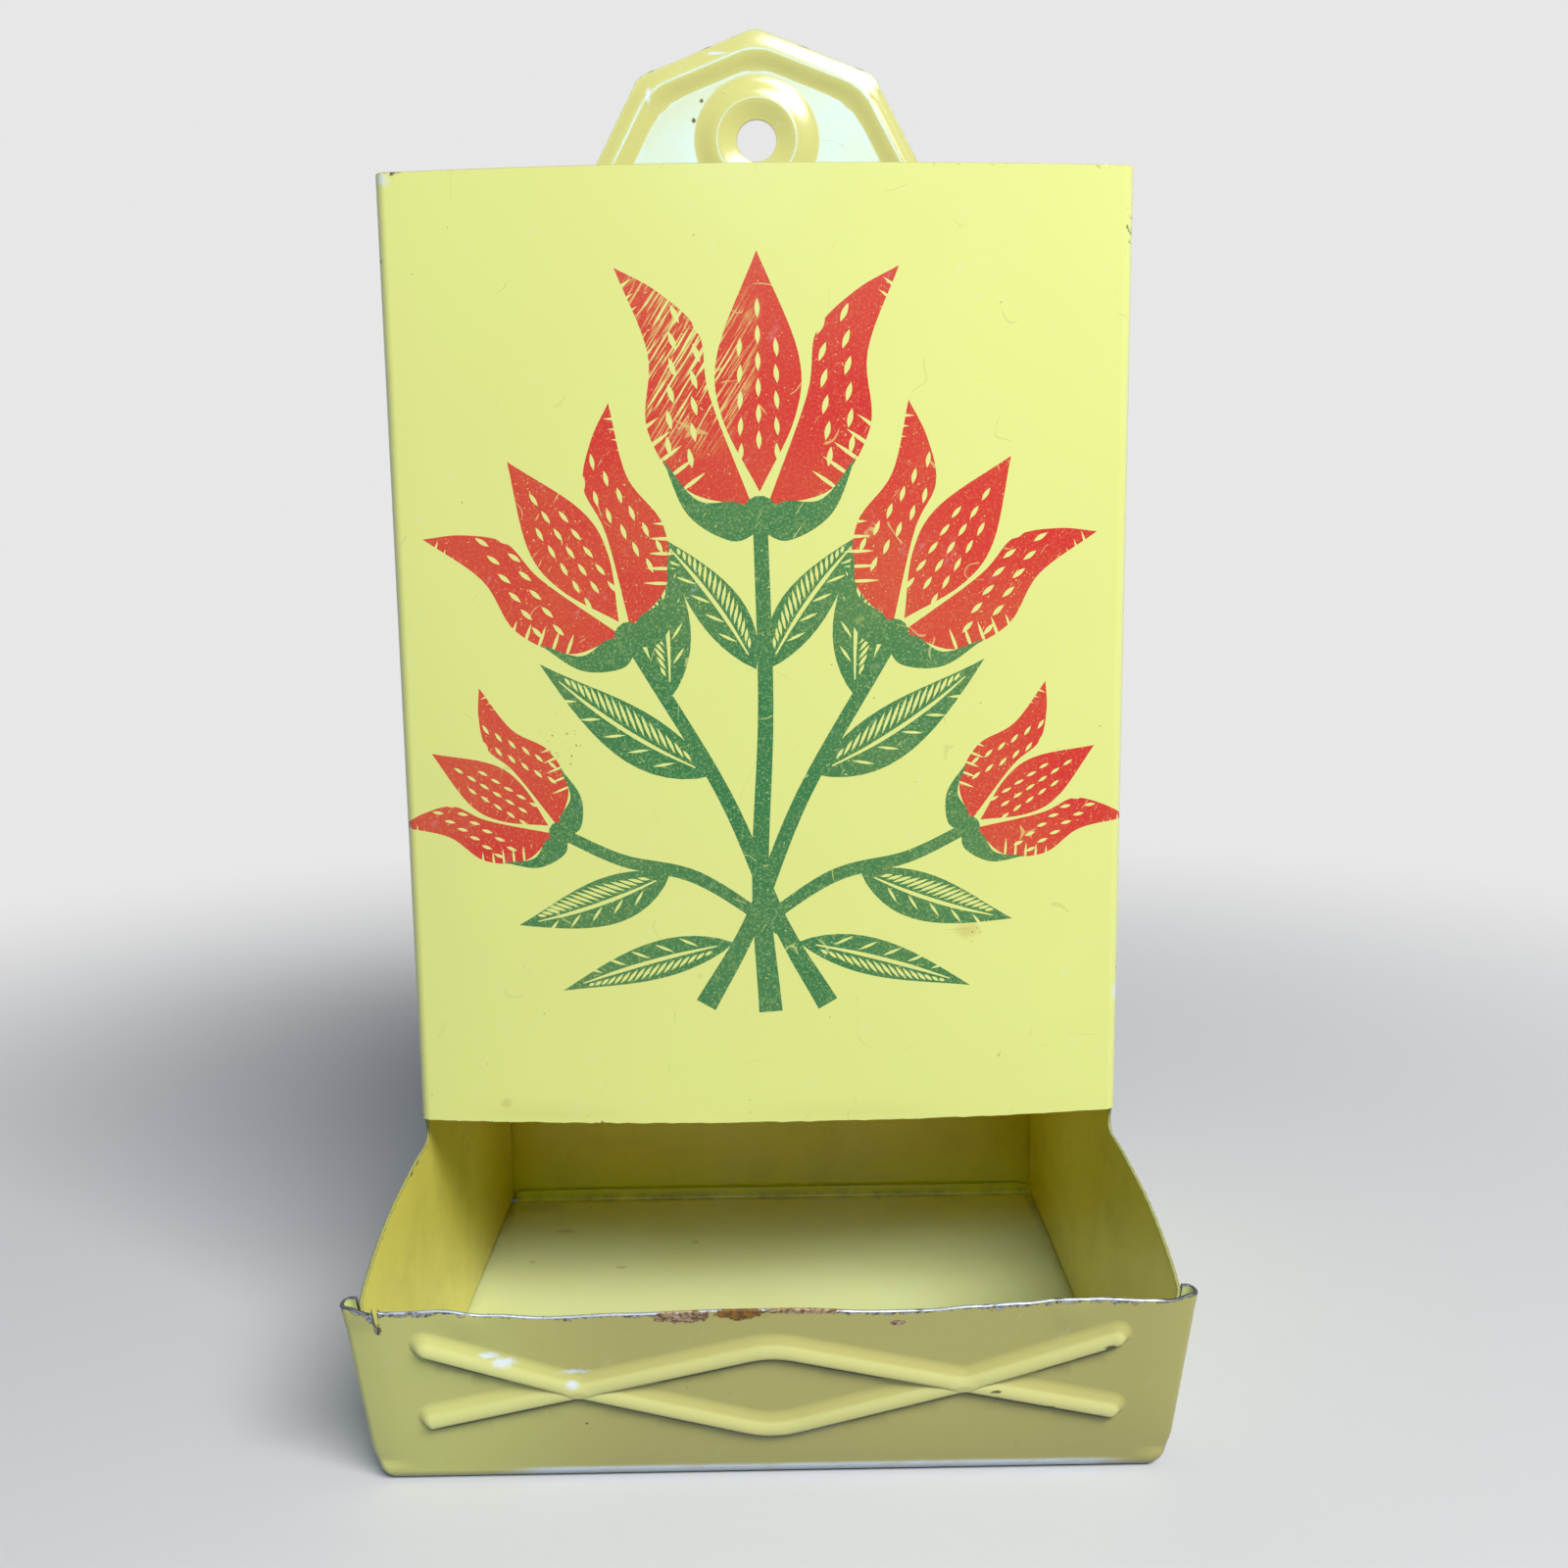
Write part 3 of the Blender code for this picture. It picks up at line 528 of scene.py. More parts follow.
class Nodes:
    """The node tree of a material or a world. paint is its colour so far."""

    def __init__(self, owner):
        owner.use_nodes = True
        self.owner, self.tree, self.paint = owner, owner.node_tree, None

    def make(self, kind, **settings):
        node = self.tree.nodes.new("ShaderNode" + kind)
        for key, value in settings.items():
            setattr(node, key, value)
        return node

    def put(self, socket, value):
        if isinstance(value, Field):
            self.tree.links.new(value.socket, socket)
        else:
            socket.default_value = value

    def feed(self, node, values, out=0):
        """Puts values into inputs, in order or by their keys, and gives one output."""
        for key, value in values.items() if isinstance(values, dict) else enumerate(values):
            self.put(node.inputs[key], value)
        return Field(self, node.outputs[out])

    def math(self, operation, *values):
        return self.feed(self.make("Math", operation=operation), values)

    def vector(self, operation, *values):
        out = "Value" if operation in ("LENGTH", "DOT_PRODUCT") else "Vector"
        return self.feed(self.make("VectorMath", operation=operation), values, out)

    @cached_property
    def point(self):
        """The place on the object in metres."""
        return self.feed(self.make("TexCoord"), (), "Object")

    @cached_property
    def place(self):
        """The place on the object in millimetres."""
        return self.vector("MULTIPLY", self.point, (1 / MM,) * 3)

    def along(self, axis):
        return self.vector("DOT_PRODUCT", self.place, axis)

    def attribute(self, name):
        return self.feed(self.make("Attribute", attribute_name=name), (), "Fac")

    def blend(self, factor, a, b):
        return self.feed(self.make("Mix", data_type="RGBA"), {0: factor, 6: a, 7: b}, 2)

    def coat(self, mask, shade):
        """Lays a colour over the paint where the mask is."""
        self.paint = self.blend(mask, self.paint, shade)

    def noise(self, size, detail, rough=0.55, stretch=(1, 1, 1), turn=0.0, shift=0.0):
        """Noise whose features are about size mm across, stretched and turned about Y."""
        values = {"Vector": self.place, "Location": (shift,) * 3, "Rotation": (0, turn, 0),
                  "Scale": tuple(size * s for s in stretch)}
        place = self.feed(self.make("Mapping", vector_type="TEXTURE"), values)
        values = {"Vector": place, "Scale": 1, "Detail": detail, "Roughness": rough}
        return self.feed(self.make("TexNoise"), values, "Fac")

    def reach(self, spots, lean=0.0):
        """Distance in radii to the nearest (centre, radius, stretch) ellipsoid. lean turns them all."""
        place = self.place
        if lean:
            place = self.feed(self.make("Mapping"), {"Vector": place, "Rotation": (0, -lean, 0)})
        turn = Matrix.Rotation(-lean, 3, "Y")
        nearest = None
        for centre, radius, stretch in spots:
            away = self.vector("SUBTRACT", place, tuple(turn @ Vector(centre)))
            away = self.vector("DIVIDE", away, tuple(radius * s for s in stretch))
            length = self.vector("LENGTH", away)
            nearest = length if nearest is None else self.math("MINIMUM", nearest, length)
        return nearest

    def blot(self, spots, size, ragged, soft, lean=0.0, shift=19):
        """1 inside any of the spots, whose outlines waver by the ragged share of their radii."""
        waver = (self.noise(size, 4, 0.7, shift=shift) - 0.5) * (4 * ragged)
        return (self.reach(spots, lean) + waver).ramp(1 + soft, 1 - soft)

    def finish(self, metallic, rough, height, distance, strength=1.0):
        """Connects the shader. The relief's height runs over distance mm."""
        values = {"Distance": distance * MM, "Strength": strength, "Height": height}
        bump = self.feed(self.make("Bump"), values)
        values = {"Base Color": self.paint, "Metallic": metallic, "Roughness": rough, "Normal": bump}
        self.feed(self.tree.nodes["Principled BSDF"], values)
        return self.owner


def material(name):
    return Nodes(bpy.data.materials.new(name))


def colour(red, green, blue):
    """The linear colour of an 8-bit screen colour."""
    parts = [v / 255 for v in (red, green, blue)]
    return (*(p / 12.92 if p <= 0.04045 else ((p + 0.055) / 1.055)**2.4 for p in parts), 1)


def mixed(a, b, share):
    return tuple(mix(p, q, share) for p, q in zip(a[:3], b[:3])) + (1,)


YELLOW = colour(230, 233, 134)
# The tray's outer yellow, darker than the panel's: painted shade, as the leaning apron faces down
SHADED_APRON_YELLOW = colour(197, 190, 110)
# The hanger's yellow, darker than the rest of the back: painted shade that makes room for the lamp's glare
SHADED_HANGER_YELLOW = colour(212, 209, 124)
# The inside's yellow, more saturated than the panel's: painted shade and the yellow cast of light bounced
# inside the box
SHADED_INNER_YELLOW = colour(230, 221, 106)
# A deep yellow for the back of the box: painted shade
SHADED_DEEP_YELLOW = colour(226, 206, 10)
# A paler yellow for the rib crests: painted highlight
CREST_HIGHLIGHT_YELLOW = colour(232, 231, 150)
RED = colour(214, 32, 30)
GREEN = colour(36, 120, 62)
STEEL = colour(182, 186, 192)
DARK_STEEL = colour(84, 82, 78)
BRIGHT_STEEL = colour(190, 198, 208)
BLUED_STEEL = colour(52, 56, 64)
FOOT_METAL = colour(150, 140, 132)
CHIPPED = colour(226, 234, 240)
RUST = colour(104, 72, 36)
ORANGE_RUST = colour(156, 108, 40)
PALE_RUST = colour(184, 158, 122)
TAN = colour(190, 142, 60)
# Dirt; also the colour of painted shade on the apron and on cut edges
DIRT_AND_SHADE = colour(74, 64, 24)
# The crease below a rib: dirt and painted shade
CREASE_DIRT_AND_SHADE = colour(50, 40, 18)
PIT = colour(52, 46, 34)
# Dust; also painted light on the tray's floor
DUST_AND_LIGHT = colour(198, 210, 150)
# A paler dust towards the back of the floor: painted light
PAINTED_LIGHT_DUST = colour(242, 250, 190)

RUB_TURN = 0.58
GLOSS = 0.2
HANGER_GLOSS = 0.12
INK_SHADE = 0.6


def specks(n, cell, share, size, shift):
    """A ragged speck in some cells of a grid."""
    cells = n.make("TexVoronoi", feature="F1")
    values = {"Vector": n.vector("ADD", n.place, (shift,) * 3), "Scale": 1 / cell}
    near = n.feed(cells, values, "Distance") - n.noise(size * 1.6, 2, shift=shift) * (1.2 * size / cell)
    draw = n.vector("DOT_PRODUCT", n.feed(cells, (), "Color"), ACROSS)
    return near.ramp(size / cell * 0.5, size / cell * 0.2) * n.math("GREATER_THAN", draw, 1 - share)


def hairlines(n, size, width, shift):
    """Thin curved scratches: level lines of a noise, broken up by another."""
    line = abs(n.noise(size, 1, 0.4, shift=shift) - 0.5).ramp(width, width * 0.3)
    return line * n.noise(size * 0.7, 2, shift=shift + 40).ramp(0.58, 0.64)


def print_ink(n, ink, grain):
    """Ink with a fine stipple, pinholes and rubbed places."""
    stipple = n.noise(0.26, 2, 0.6, shift=3)
    dark = tuple(min(1, c * INK_SHADE) for c in ink[:3]) + (1,)
    n.paint = ink
    n.coat(stipple.ramp(0.5, 0.66, 0.0, grain), mixed(ink, YELLOW, 0.45))
    n.coat(stipple.ramp(0.5, 0.36, 0.0, grain), dark)
    pinholes = n.noise(0.24, 1, shift=17).ramp(0.71, 0.75)
    fine = n.noise(0.16, 2, 0.6, (1, 1, 14), RUB_TURN, 9).ramp(0.66, 0.7)
    fine = fine * n.noise(9, 2, shift=31).ramp(0.56, 0.68)
    lost = fine | pinholes * 0.8 | hairlines(n, 5, 0.01, 77) * 0.5
    swipe = n.noise(0.24, 2, 0.6, (1, 1, 24), RUB_TURN, 3).ramp(0.5, 0.6)
    n.coat(lost | swipe * n.blot(PANEL_RUBS, 4, 0.3, 0.4), YELLOW)


def coat_inside(n):
    """Painted shade: a deeper, more saturated yellow low down towards the back, where the box is in shade.
    Also grime, and patchy darkening where the floor meets the walls and the back.
    """
    # Painted shade deep in the box, low down towards the back
    n.coat(n.along(AHEAD).ramp(4, 30) * n.along(UP).ramp(70, 34), SHADED_DEEP_YELLOW)
    n.coat(n.noise(6, 4, 0.65, shift=13).ramp(0.4, 0.8, 0.0, 0.12), DIRT_AND_SHADE)
    side = abs(n.along(ACROSS)).ramp(LIP_HALF_WIDTH - 0.9, LIP_HALF_WIDTH)
    rear = n.along(AHEAD).ramp(WALL_REAR_Y - 1.2, WALL_REAR_Y)
    corners = n.along(UP).ramp(2.0, 0.6) * (side | rear) * n.noise(3.5, 3, 0.7, shift=83).ramp(0.3, 0.75)
    n.coat(corners * 0.5, DIRT_AND_SHADE)


def light_and_dust_floor(n):
    """Dust on the tray's floor that also paints light: it lies over the front and middle, where light
    falls, grows paler towards the back, which lifts the floor where the panel shades it, and fades out at
    the rear. Also dust on the ends of the side rolls.
    """
    # Dust with painted light: paler towards the back of the floor, where the panel shades it
    lit_dust = n.blend(n.along(AHEAD).ramp(-14, 14), DUST_AND_LIGHT, PAINTED_LIGHT_DUST)
    low = n.along(UP).ramp(3.0, 0.7) * n.along(AHEAD).ramp(35, 18)
    n.coat(low * n.noise(15, 3, shift=67).ramp(0.2, 0.8, 1.0, 0.8), lit_dust)
    n.coat(abs(n.along(ACROSS)).ramp(TEAR_X - 0.6, TEAR_X + 0.4, 0.0, 0.8), DUST_AND_LIGHT)


def shade_and_wear_apron(n):
    """Painted shade across the apron, a painted highlight on the rib crests, dirt and painted shade in the
    creases below the ribs, and a pale line along the fold at the foot, partly bare metal and partly a
    painted highlight.
    """
    # Painted shade: darker towards the bottom and to the right, lighter to the left
    for axis, low, high, amount, shade in APRON_PAINTED_SHADES:
        n.coat(n.along(axis).ramp(low, high, 0.0, amount), shade)
    foot = n.attribute("rib_foot")
    # A paler coat on the rib crests: painted highlight
    n.coat(foot.ramp(-0.1, -0.9, 0.0, 0.5), CREST_HIGHLIGHT_YELLOW)
    # Dirt and painted shade in the crease below each rib, worn to metal near the middle of the lower rib
    crease_dark = n.blend(n.reach(FOOT_WEAR).ramp(1.1, 0.7), CREASE_DIRT_AND_SHADE, FOOT_METAL)
    n.coat((foot * n.noise(2.6, 3, 0.6, shift=43).ramp(0.25, 0.6, 0.8, 1.0)).clamp(), crease_dark)
    # A pale line along the fold at the foot: partly bare metal, partly painted highlight
    fold = n.along(UP).ramp(0.3, 0.5) * n.along(UP).ramp(1.7, 1.2) * n.reach(FOLD_GLEAM_AND_WEAR).ramp(1.05, 0.85)
    n.coat(fold * (n.noise(1.6, 4, 0.7, (3, 1, 1), shift=73).ramp(0.3, 0.5, 0.5, 1.0) * 0.95), CHIPPED)


def lacquer(name, base, chips=0.0, ink=None, grain=0.0, inside=False, dust_and_light=False, folds=False,
            ribs=False, gloss=GLOSS, rust=(), stains=(), smudges=(), pits=(), strokes=(), bare=()):
    """Glossy lacquer on tinplate, with its wear.

    chips widens the chipped cut edges, ink adds a printed colour with a stippled grain, folds is worn
    specks along the panel's two folds and a paler band there, a painted highlight, inside is painted shade
    deep in the box with grime, the dust option is dust on the tray's floor that also paints light, and
    ribs is painted shade and highlights, dirt and wear on the embossed apron. The lists place wear by
    (centre, radius, stretch).
    """
    n = material(name)
    n.paint = base
    if ink:
        print_ink(n, ink, grain)
    n.coat(n.noise(26, 2).ramp(0.3, 0.7, 0.0, 0.1), mixed(base, TAN, 0.35))
    n.coat(hairlines(n, 8, 0.005, 11) * (0.08 if ribs else 0.22), mixed(base, DIRT_AND_SHADE, 0.6))
    n.coat(n.noise(1.6, 4, 0.75, (1, 1, 2.5), RUB_TURN, 19).ramp(0.6, 0.8) * 0.18, CHIPPED)
    n.coat(specks(n, 2.2, 0.3, 0.09, 3.7) * 0.5, DIRT_AND_SHADE)
    if inside:
        coat_inside(n)
    if dust_and_light:
        light_and_dust_floor(n)
    if smudges:
        n.coat(n.blot(smudges, 1.2, 0.35, 0.5) * 0.3, TAN)
    if stains:
        zone = n.blot(stains, 1.6, 0.5, 0.6)
        n.coat(zone * (specks(n, 0.9, 0.4, 0.2, 23) * 0.6), TAN)
        n.coat(zone * specks(n, 0.5, 0.35, 0.09, 31), RUST)
    if ribs:
        shade_and_wear_apron(n)
    # Chips along the cut edges, with a brown border
    rim = n.attribute("rim")
    ragged = n.noise(0.8, 4, 0.7, shift=7) + n.noise(5, 2, shift=29) * 0.9
    reach = ragged * 1.5 - (1.6 - chips) - rim
    chip = reach.ramp(-0.04, 0.05)
    speck = specks(n, 9, 0.35, 0.22, 8.1)
    brown = reach.ramp(-0.12, -0.02, 0.0, 0.6) | speck * 0.8
    if folds:
        fold = abs(n.along(ACROSS)).ramp(HALF_WALL - 0.5, HALF_WALL - 0.1)
        fold = fold * n.along(AHEAD).ramp(PANEL_CORNER_Y + 0.7, PANEL_CORNER_Y) * rim.ramp(0.0, 0.5)
        worn = n.noise(0.7, 4, 0.75, (1, 1, 2.2), shift=91).ramp(0.66, 0.72)
        brown = brown | fold * (worn * 0.8)
        # A paler band along the folds: painted highlight
        n.coat(fold * 0.3, mixed(base, CHIPPED, 0.4))
    n.coat(brown, RUST)
    n.coat(chip, n.blend(n.noise(0.6, 3, shift=47).ramp(0.4, 0.62), STEEL, DARK_STEEL))
    if bare:
        n.coat(n.blot(bare, 0.7, 0.6, 0.7) * 0.85, CHIPPED)
    rough = n.noise(14, 2, shift=61).ramp(0.3, 0.7, gloss, gloss + 0.06)
    if pits:
        pit = n.blot(pits, 0.5, 0.5, 0.25, shift=97)
        n.coat(pit * 0.85, PIT)
        rough = (rough + pit * 0.6).clamp()
    if strokes:
        n.coat(n.blot(strokes, 0.4, 0.35, 0.4, STROKE_LEAN) * 0.75, RUST)
    relief = n.noise(2.4, 2, shift=5) * 0.45
    sunk = chip | speck
    if rust:
        crust = rust_over(n, rust)
        relief = relief + crust * n.noise(0.5, 5, 0.8, shift=53)
        chip = (chip - crust).clamp()
        rough = (rough + crust * 0.5).clamp()
    return n.finish(chip * 0.85, rough, relief - sunk, 0.02, 0.6)


def rust_over(n, spots):
    """Coats the spots with ragged rust, orange in one stretch and speckled tan elsewhere."""
    crust = n.blot(spots, 0.9, 0.55, 0.12, shift=53)
    flake = n.noise(0.3, 4, 0.8, (1.6, 1, 1), shift=59)
    tan = n.blend(flake.ramp(0.44, 0.54), RUST, PALE_RUST)
    tan = n.blend(flake.ramp(0.6, 0.64), tan, BRIGHT_STEEL)
    orange = n.blend(n.noise(0.7, 4, 0.7, shift=101).ramp(0.4, 0.6), ORANGE_RUST, RUST)
    orange = n.blend(n.reach(spots).ramp(0.75, 1.0, 0.0, 0.8), orange, RUST)
    start, end = ORANGE_STRETCH
    change = n.along(ACROSS).ramp(start - 0.3, start + 0.3) * n.along(ACROSS).ramp(end + 0.8, end)
    n.coat(crust, n.blend(change, tan, orange))
    return crust


def cut_edge(name, rust=()):
    """The tinplate's cut edge: bare and rusty for the tray, or with lacquer still on part of it."""
    n = material(name)
    streak = n.noise(1.3, 4, 0.7, (2, 1, 1), shift=3)
    dull = n.noise(8, 3, shift=71).ramp(0.55, 0.7, 0.0, 0.6)
    rough = streak.ramp(0.3, 0.7, 0.24, 0.42)
    if rust:
        n.paint = n.blend(streak.ramp(0.54, 0.66), BRIGHT_STEEL, DARK_STEEL)
        n.coat(dull, mixed(STEEL, DARK_STEEL, 0.4))
        n.coat(abs(n.along(ACROSS)).ramp(TEAR_X - 1.4, TEAR_X + 0.6, 0.0, 0.9), BLUED_STEEL)
        # The lip's edge inside the box: the deep yellow with a little dirt, painted shade as at the back
        # of the box
        inside = n.along(AHEAD).ramp(FOOT_Y + 8, FOOT_Y + 12)
        n.coat(inside, mixed(SHADED_DEEP_YELLOW, DIRT_AND_SHADE, 0.25))
        crust = rust_over(n, rust)
        metallic = (((0.55 - dull * 0.5).clamp() - inside).clamp() - crust).clamp()
        rough = (rough + crust * 0.4).clamp()
    else:
        kept = n.noise(1.7, 4, 0.7, shift=33).ramp(0.295, 0.375)
        n.paint = n.blend(streak.ramp(0.48, 0.6), DARK_STEEL, STEEL)
        n.coat(dull, mixed(RUST, DARK_STEEL, 0.5))
        # Lacquer left on the edge, darkened: partly dirt, partly painted shade
        n.coat(kept, mixed(YELLOW, DIRT_AND_SHADE, 0.65))
        metallic = (0.8 - (dull | kept)).clamp()
    return n.finish(metallic, rough, n.noise(0.5, 3, 0.7, shift=9), 0.03)


# Where the shading and the wear are. The wear is placed by (centre, radius, stretch)

# Painted shade on the apron as (axis, from, to, amount, colour): darker towards the bottom and to the
# right, lighter to the left
APRON_PAINTED_SHADES = ((UP, 11, 2, 0.13, DIRT_AND_SHADE), (ACROSS, -12, -36, 0.5, YELLOW), (ACROSS, 12, 36, 0.06, DIRT_AND_SHADE))
DOT = (1, 4, 1)
APRON_RUST = (
    ((-8.6, -35.7, 20.15), 1, (3.0, 6, 0.8)),
    ((-3.0, -35.7, 20.35), 1, (2.5, 6, 0.65)),
    ((3.6, -35.8, 20.7), 1, (4.6, 6, 0.4)),
    ((12.3, -35.6, 19.0), 1, (0.8, 6, 0.3)),
)
APRON_PITS = (
    ((33.2, -34.7, 15.8), 0.5, (1.3, 4, 0.8)),
    ((22.2, -33.5, 10.7), 0.35, (1.6, 4, 0.5)),
    ((27.7, -33.0, 8.7), 0.35, (1.6, 4, 0.4)),
    ((33.1, -32.5, 6.9), 0.3, (1.4, 4, 0.5)),
    ((-38.15, -36.0, 18.9), 0.5, (0.7, 4, 1.3)),
    ((-18.6, -33.0, 7.1), 0.16, DOT),
)
APRON_CHIPS = (
    ((-27.6, -34.6, 15.9), 0.55, (1.4, 4, 0.5)),
    ((-26.2, -34.6, 15.1), 0.6, (1.5, 4, 0.7)),
    ((-19.3, -34.2, 13.7), 0.4, (2.6, 4, 0.5)),
    ((-19.6, -34.0, 12.3), 0.5, (1.1, 4, 0.8)),
)
PANEL_PITS = (
    ((-22.9, -14.8, 128.7), 0.26, DOT),
    ((-22.1, -14.8, 128.6), 0.28, DOT),
    ((30.0, -14.8, 36.4), 0.22, DOT),
    ((4.3, -14.8, 124.4), 0.16, DOT),
    ((37.9, -13.6, 48.2), 0.2, DOT),
    ((37.9, -13.6, 43.0), 0.16, (1, 4, 1.6)),
    ((-31.4, -14.0, 130.6), 0.2, (1.8, 4, 1)),
    ((12.7, -14.8, 130.7), 0.18, (1.4, 4, 1)),
)
PANEL_STROKES = (
    ((25.0, -14.8, 39.3), 0.24, (0.7, 6, 2.4)),
    ((25.9, -14.8, 39.0), 0.2, (0.7, 6, 2.2)),
)
PANEL_SMUDGES = (
    ((4.3, -14.8, 124.4), 0.45, DOT),
    ((21.5, -14.8, 53.2), 1.0, (1.2, 4, 0.8)),
    ((-28.4, -14.8, 34.5), 0.6, DOT),
    ((-7.1, -14.8, 48.7), 0.5, DOT),
)
PANEL_STAINS = (
    ((-21.1, -14.8, 72.9), 2.2, (1, 4, 1.2)),
    ((21.9, -14.8, 53.0), 0.9, DOT),
)
PANEL_CHIPS = (
    ((-3.5, -14.8, 128.0), 0.2, (0.8, 6, 4.5)),
    ((37.8, -14.0, 45.8), 0.32, (0.9, 6, 2.2)),
    ((-37.2, -13.6, 130.4), 0.6, (1.2, 4, 0.8)),
)
PANEL_RUBS = (
    ((-7.5, -14.8, 113), 7.0, (0.9, 4, 1.2)),
)
HANGER_CHIPS = (
    ((-14.2, 34.8, 153.2), 0.5, (0.5, 4, 1.8)),
    ((12.6, 34.8, 155.2), 0.5, (1.8, 4, 0.6)),
    ((-5.0, 34.8, 158.4), 0.45, (2.6, 4, 0.4)),
)
HANGER_PITS = (
    ((-7.2, 35.4, 152.6), 0.3, DOT),
    ((-8.3, 35.4, 150.2), 0.26, (1, 4, 1.5)),
)
FLOOR_SMUDGES = (
    ((-28.9, 24.7, 0.6), 0.7, (1.6, 0.8, 4)),
    ((-32.0, 15.8, 0.6), 0.4, (1, 1, 4)),
    ((-19.9, 13.9, 0.6), 0.5, (1.4, 0.8, 4)),
    ((-10.5, 20.8, 0.6), 0.5, (1, 1, 4)),
    ((-33.0, 32.6, 0.6), 2.0, (1.5, 0.8, 4)),
)
FOOT_WEAR = (
    ((1.0, -32.6, 5.0), 1, (11.0, 9, 2.4)),
)
# A pale line along the foot's fold: partly bare metal, partly painted highlight
FOLD_GLEAM_AND_WEAR = (
    ((4.5, -31.5, 0.6), 1, (32.0, 9, 3)),
)
ORANGE_STRETCH = (-5.9, -0.8)
STROKE_LEAN = 0.45


# Printed spray: tulips and lance leaves, as (loop, paint) on the panel's flat pattern in (x, z).
# A paint is the number of a sheet's material

PLAIN, RED_INK, GREEN_INK, INSIDE, EDGE = range(5)
HANGER = 1


def turned(points, at, angle, size):
    """Unit-shape points, with +y along the angle from upright, put on the panel."""
    cos, sin = math.cos(angle), math.sin(angle)
    return [vec(at[0] + size * (p[0] * cos + p[1] * sin), at[1] + size * (p[1] * cos - p[0] * sin))
            for p in points]


def outline(*stretches):
    """A closed loop of smooth stretches that meet in sharp points."""
    return [point for stretch in stretches for point in smooth_through(stretch, OUTLINE_STEPS)[:-1]]


def tick(at, angle, length, width):
    """A thin lens round a point."""
    side = [vec(math.sin(math.pi * i / TICK_STEPS) * width / 2, length * (i / TICK_STEPS - 0.5))
            for i in range(TICK_STEPS + 1)]
    return turned(side + mirrored(side[1:-1]), at, angle, 1)


def stroke(points, widths, steps=8):
    """A line with a width that runs through its list."""
    line = smooth_through(points, steps)
    left, right = [], []
    for i, (point, along) in enumerate(zip(line, headings(line))):
        t = i / (len(line) - 1) * (len(widths) - 1)
        k = min(int(t), len(widths) - 2)
        side = right_of(along) * mix(widths[k], widths[k + 1], t - k) / 2
        right.append(point + side)
        left.append(point - side)
    return right + left[::-1]


SIDE_PETAL = (((-0.03, 0.0), (-0.3, 0.07), (-0.46, 0.32), (-0.45, 0.62), (-0.58, 0.96)),
              ((-0.58, 0.96), (-0.4, 0.86), (-0.24, 0.7), (-0.2, 0.45), (-0.03, 0.0)))
MIDDLE_PETAL = (((0, 0.06), (-0.15, 0.36), (-0.165, 0.62), (0, 1.02)),
                ((0, 1.02), (0.165, 0.62), (0.15, 0.36), (0, 0.06)))
SEPAL = (((0, -0.04), (-0.1, 0.02), (-0.26, 0.03), (-0.4, 0.2)),
         ((-0.4, 0.2), (-0.3, -0.03), (-0.12, -0.14), (0, -0.1)))


def tulip(at, degrees, size, seed):
    """A three-petalled tulip with cut marks in its petals and two sepals."""
    draw = random.Random(seed)
    angle = math.radians(degrees)
    side, sepal = outline(*SIDE_PETAL), outline(*SEPAL)
    shapes = [(turned(loop, at, angle, size), RED_INK)
              for loop in (side, mirrored(side), outline(*MIDDLE_PETAL))]

    def cut(x, y, lean, length, width):
        spot = turned([(x, y)], at, angle, size)[0]
        shapes.append((tick(spot, angle + lean, size * length, size * width), PLAIN))

    # Combed outer edges and rows of short cuts
    for sign in (-1, 1):
        for i in range(15):
            t = 0.1 + 0.055 * i
            x = sign * (0.53 - 0.34 * max(0, 0.38 - t) / 0.38 + 0.05 * max(0, t - 0.6) / 0.3)
            cut(x, t, sign * (-0.95), 0.13 + 0.05 * draw.random(), 0.017)
        for row in range(6):
            for column in range(2):
                x = sign * (0.285 + 0.095 * column - 0.035 * row / 5) + 0.01 * draw.random()
                cut(x, 0.2 + 0.105 * row + 0.05 * column, sign * 0.16 * (1 + row / 3), 0.082, 0.024)
    for row in range(6):
        for column in (-1, 0, 1) if row < 5 else (0,):
            cut(column * 0.075, 0.22 + 0.105 * row + 0.05 * (column == 0), column * -0.1, 0.078, 0.022)
    for loop in (sepal, mirrored(sepal), circle((0, -0.03), 0.075, 14)):
        shapes.append((turned(loop, at, angle, size), GREEN_INK))
    return shapes


def leaf(at, degrees, length, curve, wide, hatch):
    """A lance leaf: one half solid, the other hatched, with a bare vein between them."""
    angle = math.radians(degrees)

    def bent(x, y):
        return (x + curve * y**2, y)

    def half_width(t):
        return wide * math.sin(math.pi * t**0.85) * (1 - 0.25 * t)

    def cut(near, far, width):
        ends = turned([bent(*near), bent(*far)], at, angle, length)
        middle, run = (ends[0] + ends[1]) / 2, ends[1] - ends[0]
        shapes.append((tick(middle, math.atan2(*run), np.linalg.norm(run), width), PLAIN))

    left, right = ([bent(sign * half_width(t), t) for t in np.linspace(0, 1, 15)] for sign in (-1, 1))
    vein = turned([bent(0, t) for t in (0.1, 0.3, 0.5, 0.7, 0.88)], at, angle, length)
    shapes = [(turned(left[:-1] + right[:0:-1], at, angle, length), GREEN_INK),
              (stroke(vein, (0.15, 0.42, 0.42, 0.1), 4), PLAIN)]
    for i in range(17):
        t = 0.13 + 0.043 * i
        half = half_width(t)
        if half >= 0.03:
            cut((hatch * 0.022, t), (hatch * (half - 0.022), min(t + half * 0.75, 0.97)), 0.34)
    for i in range(5):
        t = 0.2 + 0.14 * i
        cut((-hatch * 0.02, t), (-hatch * 0.09, t + 0.1), 0.3)
    return shapes


